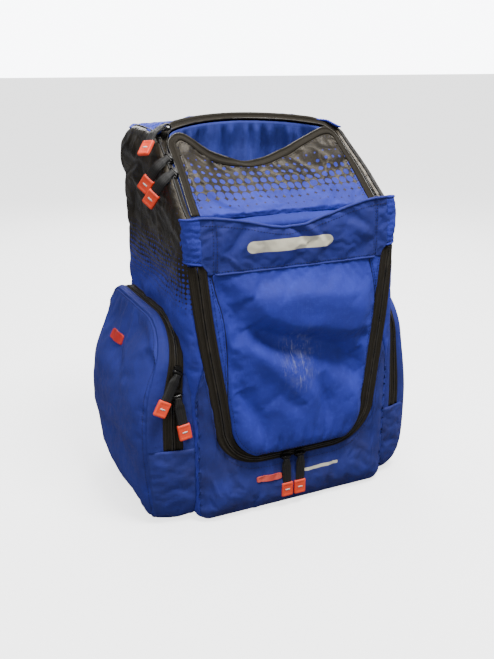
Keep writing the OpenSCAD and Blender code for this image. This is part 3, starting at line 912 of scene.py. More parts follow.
def half_zip(name, path, side, up, body, node, width=TAPE, place=None):
    """One half of a zip, in place of a CAD tape: a tape with a turned hem and a coil. side is off the chain.

    place(across, above) gives the tape's points where the surface curves; a flat tape needs none.
    """
    profile = np.array([
        (0.5, 0.0), (1.2, 1.1), (2.6, 1.25), (3.2, 0.35), (4.6, 0.15), (6.6, 0.3), (7.4, 1.15),
        (8.6, 1.55), (10.2, 1.3), (11.2, 0.5), (width, -0.6),
    ])
    if place:
        rows = np.stack([place(a, b) for a, b in profile], 1)
        uv = np.stack(np.meshgrid(run(path), profile[:, 0], indexing="ij"), -1).reshape(-1, 2)
        faces = grid_faces(len(path), len(profile))
        tape = to_object(name + "_tape", rows.reshape(-1, 3), faces, uv=uv)
    else:
        tape = sweep(name + "_tape", path, side, up, profile)
    flip_if_inward(tape, up)
    thicken(tape, 0.9)
    finish_piece(tape, "tape", body, [node])
    s = run(path)
    fine = np.arange(0, s[-1], 0.95)
    centre, across, above = (between(fine, s, a) for a in (path, side, up))
    across, above = unit(across), unit(above)
    tooth = np.where(np.arange(len(fine)) % 2 == 0, 1.25, 0.85)
    ring_pts = circle(1.0, 6)
    mid = centre + across * 1.35 + above * 0.75
    pts = mid[:, None] + tooth[:, None, None] * (
        across[:, None] * ring_pts[None, :, :1] + above[:, None] * ring_pts[None, :, 1:]
    )
    coil = to_object(name + "_coil", pts.reshape(-1, 3), tube_faces(len(fine), 6))
    finish_piece(coil, "coil", body)


def flip_if_inward(obj, up):
    """Turns a swept sheet over if its normals point away from up."""
    mesh = obj.data
    n = np.zeros(len(mesh.vertices) * 3)
    mesh.vertices.foreach_get("normal", n)
    m = len(mesh.vertices) // len(up)
    want = np.repeat(up, m, axis=0)
    if (n.reshape(-1, 3) * want).sum() < 0:
        mesh.flip_normals()


def lay_line(lay, q, h, outward, squeeze=1.0):
    """A flat line on a surface as 3-D points, the direction outward across it, and the normal.

    The last thing returned places points beside the line, their distance from it scaled by squeeze.
    """
    q = np.asarray(q, float)
    t = tangents(q)
    flat_side = np.stack([-t[:, 1], t[:, 0]], -1)
    if (flat_side * outward(q)).sum() < 0:
        flat_side = -flat_side
    p = lay(q, h)
    step = 2.0
    side = unit(lay(q + flat_side * step, h) - p)
    tangent = tangents(p)
    up = unit(lay(q, h + 1.0) - p)
    up = unit(up - tangent * (up * tangent).sum(-1, keepdims=True))
    side = unit(side - up * (side * up).sum(-1, keepdims=True))
    return p, side, up, lambda a, b: lay(q + flat_side * a * squeeze, h + b)


def door_chain(top):
    """The door zip's line in (x, z), from its left top round to its right top."""
    slope = (door_top_hw - door_low_hw) / (hinge_z - door_low_z - door_r)
    hw = door_low_hw + slope * (top - door_low_z - door_r)
    cx, cz = door_low_hw - door_r, door_low_z + door_r
    left = np.vstack([[[-hw, top]], arc(-cx, cz, door_r, 180, 270, 24)])
    right = left[::-1] * [-1, 1]
    return resample(np.vstack([left, right]), 3.0)


def offset(path, d):
    """A line moved d to its right-hand side, flat."""
    t = tangents(path)
    return path + np.stack([t[:, 1], -t[:, 0]], -1) * d


def door_hw(z, inset=0.0):
    """Half width of the door zip's line at height z, moved in by inset, or LOW_RUN of that at its foot."""
    r, rz = door_r - inset, door_r - inset * LOW_RUN
    cx, cz = door_low_hw - door_r, door_low_z + door_r
    slope = (door_top_hw - door_low_hw) / (hinge_z - cz)
    inside = r * np.sqrt(np.clip(1 - ((cz - np.minimum(z, cz)) / rz) ** 2, 0, None))
    return np.where(z < cz, cx + inside, door_low_hw - inset + slope * (z - cz))


def graded(z0, r, z1, step, first=9.0, turn=6.0):
    """Heights from the flat end of a round corner of radius r at z0 up to z1, close together at first."""
    angles = np.radians(np.r_[0, np.arange(first, 90, turn)])
    curve = z0 + r * (1 - np.cos(angles))
    return np.r_[curve, np.linspace(z0 + r, z1, int((z1 - z0 - r) / step) + 1)]


DOOR_BLEND = bend("door", (0, front_y, hinge_z + 3), (0, front_y, hinge_z - 15))


def door_zips():
    chain = door_chain(SEAM_TOP + 12)
    centre = np.array([0.0, 200.0])
    down = np.clip((door_low_z + door_r - chain[:, 1:]) / door_r, 0, 1)
    squeeze = lerp(1.0, LOW_RUN, down**2)
    for name, sign, body, node in (
        ("door_zip_outer", 1, "pack", "door_zip_body_tape"),
        ("door_zip_inner", -1, DOOR_BLEND, "door_zip_tape"),
    ):
        p, side, up, place = lay_line(shell, chain, 1.0, lambda q: (q - centre) * sign, squeeze)
        half_zip(name, p, side, up, body, node, place=place)


# ------------------------------------------------------------------ front door

SEAM_LEFT = [(-116, SEAM_TOP), (-110, 313), (-103, 290), (-99, 242), (-101, 190), (-105, 130)]
SEAM_RIGHT = [(102, SEAM_TOP), (109, 313), (115, 285), (118, 250), (117, 205), (112, 150)]


def door_folds(q):
    """The big soft folds of the hanging door, with small gathers above the lower zip."""
    h = folds(0, q, [
        (-20, 20, (-118, 330), (-100, 304), (-77, 268), (-37, 246), (8, 238), (48, 215), (90, 180),
         (124, 148)),
        (19, 30, (-70, 318), (-40, 296), (0, 282), (55, 279), (100, 270)),
        (11, 15, (-98, 296), (-70, 250), (-31, 206), (8, 164), (12, 112)),
        (-8, 9, (-118, 280), (-106, 250), (-97, 216), (-106, 184)),
        (4, 8, (-112, 210), (-108, 180), (-104, 140)),
        (-8, 12, (-86, 190), (-70, 156), (-52, 116)),
        (7, 14, (-46, 170), (-18, 138), (-4, 96)),
        (-7, 11, (26, 196), (34, 162), (42, 122)),
        (8, 17, (60, 204), (84, 156), (88, 116)),
        (-5, 9, (76, 250), (104, 232), (118, 204)),
        (4, 10, (40, 262), (78, 250), (112, 246)),
    ])
    for x, tall in ((-57, 20), (-38, 14), (-22, 22), (-3, 16), (12, 24), (30, 17), (46, 22), (62, 15)):
        h += crease(q, [(x, 92), (x + 3, 92 + tall), (x + 2, 96 + 1.6 * tall)], -2.6, 4.0)
    return h


def build_door():
    inset = TAPE - 1
    z0 = door_low_z + inset * LOW_RUN
    zs = graded(z0, door_r - inset * LOW_RUN, SEAM_TOP, 2.3)
    cols = np.linspace(-1, 1, 109)
    q = np.stack([door_hw(zs, inset)[:, None] * cols[None, :], np.repeat(zs[:, None], len(cols), 1)], -1)
    edge = np.minimum(door_hw(q[..., 1], inset) - np.abs(q[..., 0]), q[..., 1] - z0)
    soft = lerp(7.0, 26.0, smooth(q[..., 1], 110, 230))
    full = lerp(17.0, 13.0, smooth(q[..., 1], 100, 170))
    drawn_in = 1 - 0.75 * smooth(q[..., 1], SEAM_TOP - 45, SEAM_TOP)
    pillow = full * (1 - np.exp(-np.clip(edge, 0, None) / soft)) * drawn_in
    free = smooth(edge, 0, 22) * smooth(SEAM_TOP - q[..., 1], 0, 26)
    h = 1.2 + pillow + door_folds(q) * free + 0.9 * wobble(q, 46, 3) * smooth(edge, 0, 30)
    for seam in (SEAM_LEFT, SEAM_RIGHT):
        h += crease(q, seam, -2.4, 2.6, taper=False)
    h = np.where(h > 17, 17 + 6 * np.tanh((h - 17) / 6), h)
    door = Patch("door_panel_cloth", q, shell, np.maximum(h, 0.3))
    near_seam = np.minimum(away(q, SEAM_LEFT)[0], away(q, SEAM_RIGHT)[0]) < 1.6
    door.settle(pin=near_seam, slack=0.013, pressure=0.25, cap=3.0, bend=3.0)
    door.wear(5)
    # each seam gets a thin dark cord half sunk in its crease: the seam's turned edge, and painted shade for
    # the thin shadow line along it
    for name, seam in (("left", SEAM_LEFT), ("right", SEAM_RIGHT)):
        line = resample(soften(seam), 2.0)
        p, n = door.at(line, -0.3)
        finish_piece(cord("door_seam_" + name, p, n, 0.9), "thread", DOOR_BLEND)
        out = line + np.array([3.2 if name == "right" else -3.2, 0])
        p, n = door.at(out)
        finish_piece(stitches("door_stitch_" + name, p, n), "thread", DOOR_BLEND)
    hem = offset(door_chain(SEAM_TOP - 2), -(TAPE + 2.5))
    keep = np.abs(hem[:, 0]) < door_hw(hem[:, 1], inset) + 1
    p, n = door.at(hem[keep])
    finish_piece(stitches("door_hem_stitch", p, n), "thread", DOOR_BLEND)
    thicken(door.obj, 2.2)
    finish_piece(door.obj, "door", DOOR_BLEND, ["door_panel"])
    return door


# ------------------------------------------------------------------ apron below the door, and the sides

SEAM_X = 143.0
APRON_TIP = 185.0
APRON_SLOPE = 3.0
ZIP_SLOPE = (door_top_hw - door_low_hw) / (hinge_z - door_low_z - door_r)


def apron_top(x):
    """Height of the apron's top edge: under the door zip's tape, beside it, and down to the corner seam."""
    cx, cz = door_low_hw - door_r, door_low_z + door_r
    reach = TAPE - 1
    ax = np.abs(x)
    across = np.clip((ax - cx) / (door_r + reach), 0, 1)
    under = cz - (door_r + reach * LOW_RUN) * np.sqrt(1 - across**2)
    beside = cz + np.clip(ax - door_low_hw - reach, 0, None) / ZIP_SLOPE
    return np.where(across < 1, under, np.minimum(beside, APRON_TIP + (SEAM_X - ax) * APRON_SLOPE))


def front_seam(z):
    """Where the side cloth starts: at the corner seam, along the apron's pointed top, then beside the zip."""
    zip_edge = door_hw(np.clip(z, 0, SEAM_TOP + 12)) + TAPE - 1.2
    return np.clip(SEAM_X - (z - APRON_TIP) / APRON_SLOPE, np.minimum(zip_edge, SEAM_X), SEAM_X)


def build_apron():
    xs = np.linspace(-1, 1, 141)
    xs = np.sign(xs) * SEAM_X * (1 - (1 - np.abs(xs)) ** 1.5)
    rows = np.linspace(0, 1, 60)
    top = apron_top(xs)
    q = np.stack([np.repeat(xs[None], len(rows), 0), 2 + rows[:, None] * (top - 2)[None]], -1)
    x, z = q[..., 0], q[..., 1]
    edge = np.minimum(top[None] - z, np.minimum(z + 4, SEAM_X - np.abs(x)))
    h = 0.6 + 7 * (1 - np.exp(-np.clip(edge, 0, None) / 18))
    h += 1.1 * wobble(q, 60, 11) * smooth(edge, 0, 20)
    h = folds(h, q, [
        (-3, 9, (-126, 120), (-96, 66), (-40, 44)),
        (-2.5, 9, (126, 110), (104, 62), (60, 46)),
        (2, 12, (-128, 60), (-60, 22), (40, 18)),
    ])
    apron = Patch("front_apron_cloth", q, shell, np.maximum(h, 0.2))
    apron.settle(slack=0.018, pressure=0.3, cap=3.0, bend=1.0)
    apron.wear(5)
    hem = offset(door_chain(205), TAPE + 2.2)
    hem = hem[np.abs(hem[:, 0]) < SEAM_X - 2]
    p, n = apron.at(hem)
    finish_piece(stitches("apron_stitch", p, n), "thread", "pack")
    # a blank moulded label beside the pulls
    label(apron, "front_label_badge", "front_label", 0, "coral", "pack")
    thicken(apron.obj, 2.2)
    finish_piece(apron.obj, "apron", "pack", ["front_panel"])
    return apron


def label(patch, name, node, axis, mat, body, shift=0):
    """A blank rounded label with a raised rim, lying on a panel in place of a CAD label along axis."""
    lo, hi = low(node)[[axis, 2]], high(node)[[axis, 2]]
    centre, size = (lo + hi) / 2 + [shift, 0], hi - lo
    cols, rows = 25, 17
    u = np.linspace(-1, 1, cols)
    v = np.linspace(-1, 1, rows)
    uu, vv = np.meshgrid(u, v)
    # squarish disc, so the corners are round
    k = 6.0
    r = (np.abs(uu) ** k + np.abs(vv) ** k) ** (1 / k)
    big = np.maximum(np.abs(uu), np.abs(vv))
    scale = np.where(r > 1e-6, big / np.maximum(r, 1e-6), 1.0)
    fx, fy = uu * scale * size[0] / 2, vv * scale * size[1] / 2
    q = (np.stack([fx, fy], -1) + centre).reshape(-1, 2)
    p, n = patch.at(q)
    n = unit(n.mean(0))[None]
    lift = 1.3 + 0.5 * smooth(big, 0.72, 0.84) * (1 - smooth(big, 0.93, 1.0)) - 1.5 * smooth(big, 0.93, 1.0)
    o = to_object(name, p + n * lift.reshape(-1, 1), grid_faces(rows, cols))
    flip_if_inward(o, np.repeat(n, rows, 0))
    thicken(o, 0.8)
    finish_piece(o, mat, body, [node])


TOP_EDGE = [(-1, 404), (22, 412), (101, 491), (118, 503), (196, 506), (227, 498), (252, 478)]


def side_top():
    """The side panel's top edge in (distance round the body, height)."""
    s0 = RING_CORNER + (lid_hinge[1] - (front_y + FRONT_R)) - 22
    pts = np.array([(s0 + a, z) for a, z in TOP_EDGE], float)
    return resample(soften(pts, 3), 2.0)


def build_side(side):
    top = side_top()
    cols, rows = 118, 150
    t = np.linspace(0, 1, cols)
    st = np.interp(t, np.linspace(0, 1, len(top)), top[:, 0])
    zt = np.interp(t, np.linspace(0, 1, len(top)), top[:, 1])
    sb = lerp(SEAM_X, top[-1, 0], t)
    # the last rows roll over the top edge
    roll_rows = 12
    roll = lerp(7.5, 14.0, smooth(st, RING_CORNER + 165, RING_CORNER + 225))
    r = np.linspace(0, 1, rows)
    s = sb[None] + (st - sb)[None] * r[:, None]
    z = 2 + (zt - roll - 2)[None] * r[:, None]
    s = s + (front_seam(z[:, :1]) - s[:, :1]) * (1 - t[None]) ** 5
    q = np.stack([s, z], -1)
    edge = np.minimum(np.minimum(q[..., 1] + 6, zt[None] - q[..., 1]), (s - s[:, :1]))
    h = 0.5 + 4.5 * (1 - np.exp(-np.clip(edge, 0, None) / 24))
    free = smooth(edge, 0, 30)
    seed = 21 if side < 0 else 22
    h += 1.3 * wobble(q, 70, seed) * free
    h = folds(h, q, [
        (-4, 14, (10, 395), (60, 330), (150, 300)),
        (3, 14, (20, 360), (80, 300), (170, 285)),
    ], free, start=RING_CORNER)
    if side < 0:
        # the rear top corner is crumpled outwards in stiff glossy folds
        h = folds(h, q, [
            (2, 14, (150, 480), (200, 476), (236, 452)),
            (-6, 7, (140, 462), (190, 453), (236, 432)),
            (2, 12, (160, 440), (205, 428), (236, 396)),
            (4, 8, (110, 486), (150, 456), (176, 400)),
            (-3.5, 7, (96, 480), (120, 440), (128, 392)),
            (3, 9, (60, 440), (84, 405), (90, 360)),
            (3, 3.5, (170, 498), (186, 474), (214, 462)),
            (-3, 4, (186, 498), (206, 484), (224, 478)),
            (2.6, 4, (150, 492), (164, 462), (160, 430)),
            (-2.6, 4, (130, 470), (142, 440), (138, 412)),
            (-3, 5, (176, 440), (196, 410), (204, 380)),
        ], start=RING_CORNER)
    pts = shell(q * [side, 1], np.maximum(h, 0.2))
    # roll: continue from the last row inwards round a quarter circle
    tangent = unit(np.gradient(np.stack([st, zt], -1), axis=0))
    normal = np.stack([-tangent[:, 1], tangent[:, 0]], -1)
    normal = np.where(normal[:, 1:] < 0, -normal, normal)
    extra, extra_q = [], []
    for k in range(1, roll_rows + 1):
        a = min(k / 6, 1) * PI / 2
        inward = roll * (1 - math.cos(a)) + max(k - 6, 0) * 0.9
        rise = roll * math.sin(a) - 0.25 * max(k - 6, 0)
        qq = np.stack([st, zt - roll], -1) + normal * rise[:, None]
        extra_q.append(np.stack([st, zt - roll + rise + inward * 0.5], -1))
        lift = h[-1] * math.cos(a)
        extra.append(shell(qq * [side, 1], lift - inward))
    pts = np.concatenate([pts, np.array(extra)])
    flat = np.concatenate([q, np.array(extra_q)])
    patch = Patch("side_cloth_" + WORD[side], flat, lambda a, b: pts, 0, flip=side < 0)
    pin = np.zeros(pts.shape[:2], bool)
    pin[rows - 3:] = True
    patch.settle(pin=pin, slack=0.012, pressure=0.15, cap=3.0, bend=2.0)
    patch.wear(6)
    edge_line = resample(pts[rows + 5] + [0, 0, 0.4], 2.5)
    up = same((0.0, 0.0, 1.0), len(edge_line))
    piping = cord("side_piping_" + WORD[side], edge_line, up, 1.3)
    finish_piece(piping, "web", "pack")
    thicken(patch.obj, 2.0)
    finish_piece(patch.obj, "side", "pack",
                 ["side_panel_" + WORD[side]])
    return patch


# ------------------------------------------------------------------ putter pocket band


BAND_SEAMS = (-112, 110)


def lip(s):
    """Height of the putter pocket's lip, which sags left of its middle."""
    return 413 - 19 * bump(s, -22, 62) + 7 * smooth(s, 30, 120)


def build_band():
    reach = 134.0
    cols = np.linspace(-reach, reach, 149)
    rows = np.linspace(0, 1, 40)
    z0 = SEAM_TOP
    q = np.stack([np.repeat(cols[None], len(rows), 0), z0 + rows[:, None] * (lip(cols) - z0)[None]], -1)
    flare = np.clip(np.abs(q[..., 0]) - 110, 0, None) / (reach - 110) * (reach - 121)
    q[..., 0] -= np.sign(q[..., 0]) * flare * (1 - smooth(q[..., 1], z0 + 2, z0 + 22))
    x, z = q[..., 0], q[..., 1]
    up = np.repeat(rows[:, None], len(cols), 1)
    h = 2.4 + 5 * up * np.cos(PI * x / 290) + 3.5 * np.sin(PI * up) * np.cos(PI * x / 300)
    h = folds(h, q, [
        (-3.2, 4.5, (-24, 397), (-6, 386), (4, 372)),
        (3.4, 5.5, (-4, 398), (8, 388), (20, 380)),
        (-2.6, 5, (28, 399), (24, 384), (36, 368)),
        (-3.0, 6, (-74, 398), (-86, 380), (-98, 362)),
        (2.2, 6, (-100, 400), (-104, 380), (-106, 360)),
        (-2.0, 7, (50, 404), (78, 396), (100, 384)),
        (1.8, 7, (60, 392), (86, 380), (108, 366)),
    ])
    h += 0.8 * wobble(q, 40, 31) * smooth(up, 0, 0.3)
    for sx in BAND_SEAMS:
        h += crease(q, [(sx, z0), (sx, 420)], -1.8, 2.4, taper=False)
    h *= smooth(reach + 8 - np.abs(x), 0, 14)
    h = np.maximum(h, 1.0) + 1.6 * (np.abs(x) < 111) * smooth(up, 0.3, 0.0)
    band = Patch("putter_band_cloth", q, shell, h)
    pin = (np.abs(np.abs(x) - 111) < 1.2)
    band.settle(pin=pin, slack=0.014, pressure=0.2, cap=2.4, bend=2.2)
    band.wear(4)
    # bottom seam: a rolled edge that casts the dark line over the door
    line = np.stack([np.linspace(*BAND_SEAMS, 100), np.full(100, z0 + 0.2)], -1)
    p, n = band.at(line, 0.3)
    roll = cord("band_bottom_roll", p, n, 1.4)
    finish_piece(roll, "band", "pack")
    p, n = band.at(line + [0, 3.4])
    finish_piece(stitches("band_bottom_stitch", p, n), "thread", "pack")
    top = np.stack([cols, lip(cols) - 0.2], -1)
    p, n = band.at(resample(top, 2.2), -0.2)
    finish_piece(cord("band_lip_roll", p, n, 1.9), "band", "pack")
    p, n = band.at(resample(top - [0, 8.5], 2.2))
    finish_piece(stitches("band_lip_stitch", p, n), "thread", "pack")
    for sx in BAND_SEAMS:
        for dx in (-2.2, 2.2):
            zs = np.linspace(z0 + 3, float(lip(sx)) - 3, 30)
            p, n = band.at(np.stack([np.full(30, sx + dx), zs], -1))
            finish_piece(stitches(f"band_seam_stitch_{sx}_{dx}".replace("-", "m").replace(".", "_"), p, n),
                         "thread", "pack")
    thicken(band.obj, 2.4)
    finish_piece(band.obj, "band", "pack", ["putter_pocket"])
    # ear flaps that run from the band round the corners, over the tops of the zip
    for side in (-1, 1):
        word = WORD[side]
        ear_end = RING_CORNER + (3 if side < 0 else 6)
        ss = np.linspace(129, ear_end, 34)
        rr = np.linspace(0, 1, 32)
        z_low = SEAM_TOP + 14 + 0.14 * (ss - 129)
        crest = float(lip(side * reach))
        z_high = np.interp(ss, [129, ear_end - 10, ear_end], [crest, crest - 2, crest - 4])
        qq = np.stack([np.repeat(ss[None], len(rr), 0), z_low + rr[:, None] * (z_high - z_low)[None]], -1)
        hh = 3.4 + 1.2 * np.sin(PI * np.repeat(rr[:, None], len(ss), 1)) + 0.8 * wobble(qq, 30, 41)
        hh -= 2.4 * smooth(qq[..., 0], ear_end - 12, ear_end)
        hh = np.maximum(hh, 1.2)
        flat = qq * [side, 1]
        ear = Patch("band_ear_" + word, flat, shell, hh, flip=side < 0)
        ear.settle(slack=0.02, pressure=0.2, cap=1.8, bend=0.8)
        ear.wear(4)
        low_line = np.stack([side * ss, z_low + 3.6], -1)
        p, n = ear.at(low_line)
        finish_piece(stitches("ear_stitch_" + word, p, n), "thread", "pack")
        p, n = ear.at(np.stack([side * ss, z_low], -1), 0.0)
        finish_piece(cord("ear_hem_" + word, p, n, 1.3), "blue", "pack")
        p, n = ear.at(np.stack([side * ss, z_high - 0.3], -1), 0.0)
        finish_piece(cord("ear_top_" + word, p, n, 1.7), "blue", "pack")
        thicken(ear.obj, 2.0)
        finish_piece(ear.obj, "blue", "pack")
    # inner wall of the putter pocket
    xs = np.linspace(-138, 138, 60)
    zs = np.linspace(shelf_z - 2, 405, 34)
    g = np.stack(np.meshgrid(xs, zs), -1)
    wall_y = high("putter_pocket")[1] - 1.5

    def inner(q, h=0.0):
        lean = 14 * bump(q[..., 1], 393, 13) * np.cos(PI * np.clip(q[..., 0] / 280, -0.5, 0.5))
        return slump(np.stack([q[..., 0], wall_y - h - lean, q[..., 1]], -1))

    inner_wall = Patch("putter_inner_wall", g, inner, 0.6 * wobble(g, 50, 51))
    thicken(inner_wall.obj, 2.0)
    finish_piece(inner_wall.obj, "blue", "pack")
    zf = np.linspace(0, 1, 10)
    floor_q = np.stack(np.meshgrid(xs, zf), -1)

    def floor_sheet(q, h=0.0):
        x, f = q[..., 0], q[..., 1]
        return slump(np.stack([x, lerp(front_y + 4, wall_y, f), SEAM_TOP + 3 + h + 0 * x], -1))

    floor = Patch("putter_floor_cloth", floor_q, floor_sheet, 0)
    floor.obj.data.uv_layers.remove(floor.obj.data.uv_layers[0])
    thicken(floor.obj, 1.6)
    finish_piece(floor.obj, "lining", "pack")
    return band


# ------------------------------------------------------------------ lid, top opening and yoke

LID_BLEND = bend("lid", (0, lid_hinge[1] - 2, lid_hinge[2] - 8), (0, lid_hinge[1] + 6, lid_hinge[2] + 8))
LID_CORNER = 13.0
LID_DIP = 40.0
CHAIN_GROW = 8.0


def lid_dip(x):
    """How far the free edge hangs: steeply near its left corner, then gently up to the right."""
    x = np.asarray(x, float) + 40
    t = np.clip(np.where(x < 0, x / 70, x / 146), -1, 1)
    return LID_DIP * ((1 + np.cos(PI * t)) / 2) ** 0.8


def lid_outline(grow):
    """The lid's line in (x, up the slope), grown outwards, from its left foot round to its right foot."""
    hw, r = lid_hw + grow, LID_CORNER + grow
    c = lid_hw - LID_CORNER
    left = np.vstack([[[-hw, 0.0]], arc(-c, lid_len - LID_CORNER, r, 180, 90, 10)])
    xs = np.linspace(-c, c, 40)[1:-1]
    mid = np.stack([xs, lid_len + grow - lid_dip(xs)], -1)
    right = left[::-1] * [-1, 1]
    return resample(soften(np.vstack([left, mid, right]), 1), 3.0)


def lid_height(q):
    """The limp lid sags between its zip sides, with stiff soft dents in its coated top."""
    x, u = q[..., 0], q[..., 1]
    inside = np.cos(PI * np.clip(x / (2 * lid_hw), -0.5, 0.5))
    h = -11 * inside * smooth(u, 0, 90) * (0.6 + 0.4 * bump(x, -20, 60))
    h += 5 * bump(np.abs(x), 104, 26) * smooth(u, 20, 90)
    free = smooth(lid_hw - np.abs(x), 0, 24) * smooth(u, 0, 14)
    h = folds(h, q, [
        (-5, 11, (-100, 104), (-78, 86), (-52, 60)),
        (5, 11, (-74, 100), (-50, 82), (-30, 66)),
        (-5, 11, (40, 98), (52, 76), (78, 56)),
        (4, 10, (72, 104), (84, 80), (104, 58)),
        (4, 10, (-20, 70), (8, 58), (44, 54)),
        (-3, 12, (-30, 48), (10, 30), (60, 34)),
    ], free)
    h += free * 0.9 * wobble(q, 64, 61, 2)
    return h


def build_lid():
    inset = 4.0
    corner = LID_CORNER - inset
    hw = lid_hw - inset
    xs = graded(0, corner, 2 * hw - corner, 2.0)
    half = hw - graded(0, corner, hw, 2.2)
    xs = np.r_[-half, half[::-1][1:] if abs(half[-1]) < 1e-6 else half[::-1]]
    xs = np.unique(np.round(xs, 4))
    c = lid_hw - LID_CORNER
    past = np.clip(np.abs(xs) - c, 0, corner)
    top = lid_len - inset - np.where(np.abs(xs) <= c, lid_dip(xs), corner - np.sqrt(corner**2 - past**2))
    rows = np.linspace(0, 1, 64)
    u0 = -6.0
    q = np.stack([np.repeat(xs[None], len(rows), 0), u0 + rows[:, None] * (top - u0)[None]], -1)
    lid = Patch("lid_cloth", q, lid_sheet, lid_height(q) + 0.8)
    lid.settle(slack=0.016, pressure=0.15, cap=4.0, bend=6.0)
    lid.wear(5)
    # the zip that runs round its two sides and its free edge
    chain = lid_outline(CHAIN_GROW)
    centre = np.array([0.0, 30.0])
    surface = lambda a, b: lid_sheet(a, lid_height(a) + b)
    p, side, up, place = lay_line(surface, chain, 0.8, lambda a: centre - a)
    half_zip("lid_zip", p, side, up, "lid", "lid_zip_tape", place=place)
    hem = lid_outline(CHAIN_GROW - TAPE - 2.6)
    hem = hem[hem[:, 1] > 8]
    p, n = lid.at(hem)
    finish_piece(stitches("lid_hem_stitch", p, n), "thread_dark", "lid")
    thicken(lid.obj, 1.8)
    finish_piece(lid.obj, "lid", LID_BLEND, ["lid_panel"])
    return lid


def opening_line():
    """The body's side of the lid zip: up the left slope, round the arch and down the right slope.

    Round the arch the tape stands up, with its chain lower than its hem.
    """
    x = lid_hw + CHAIN_GROW + 0.5
    us = np.linspace(0, 100, 30)
    slope = np.stack([np.full(30, -x), lid_hinge[1] + us * math.cos(LID_SLOPE),
                      lid_hinge[2] + us * math.sin(LID_SLOPE)], -1)
    r = ARCH_R - 6
    a = np.linspace(math.atan2(ARCH_FOOT[1] + 14 - ARCH_CY, -122), PI / 2, 40)
    ax = r * np.cos(a)
    arch = np.stack([ax, ARCH_CY + r * np.sin(a), crown(ax) - 7], -1)
    left = np.vstack([slope, arch])
    stand = math.radians(52) * smooth(np.abs(left[:, 0]), 132, 96)
    mirror = np.array([-1.0, 1.0, 1.0])
    path = np.vstack([left, (left[::-1] * mirror)[1:]])
    stand = np.r_[stand, stand[::-1][1:]]
    s = run(path)
    t = np.arange(0, s[-1], 3.0)
    path = between(t, s, path)
    stand = np.interp(t, s, stand)
    kernel = np.array([1, 4, 6, 4, 1]) / 16
    for _ in range(8):
        pad = np.vstack([path[:1], path[:1], path, path[-1:], path[-1:]])
        path[2:-2] = sum(pad[k : k + len(path)] * kernel[k] for k in range(5))[2:-2]
    path = slump(path)
    tan = tangents(path)
    on_slope = smooth(path[:, 1], -30, -50)[:, None]
    normals = unit(np.array([0, -1.0, 1.0]) * on_slope + np.array([0, 0, 1.0]) * (1 - on_slope))
    up = unit(normals - tan * (normals * tan).sum(-1, keepdims=True))
    side = unit(np.cross(up, tan))
    if (side * (path - path.mean(0))).sum() < 0:
        side = -side
    c, sn = np.cos(stand)[:, None], np.sin(stand)[:, None]
    return path, unit(side * c + up * sn), unit(up * c - side * sn)


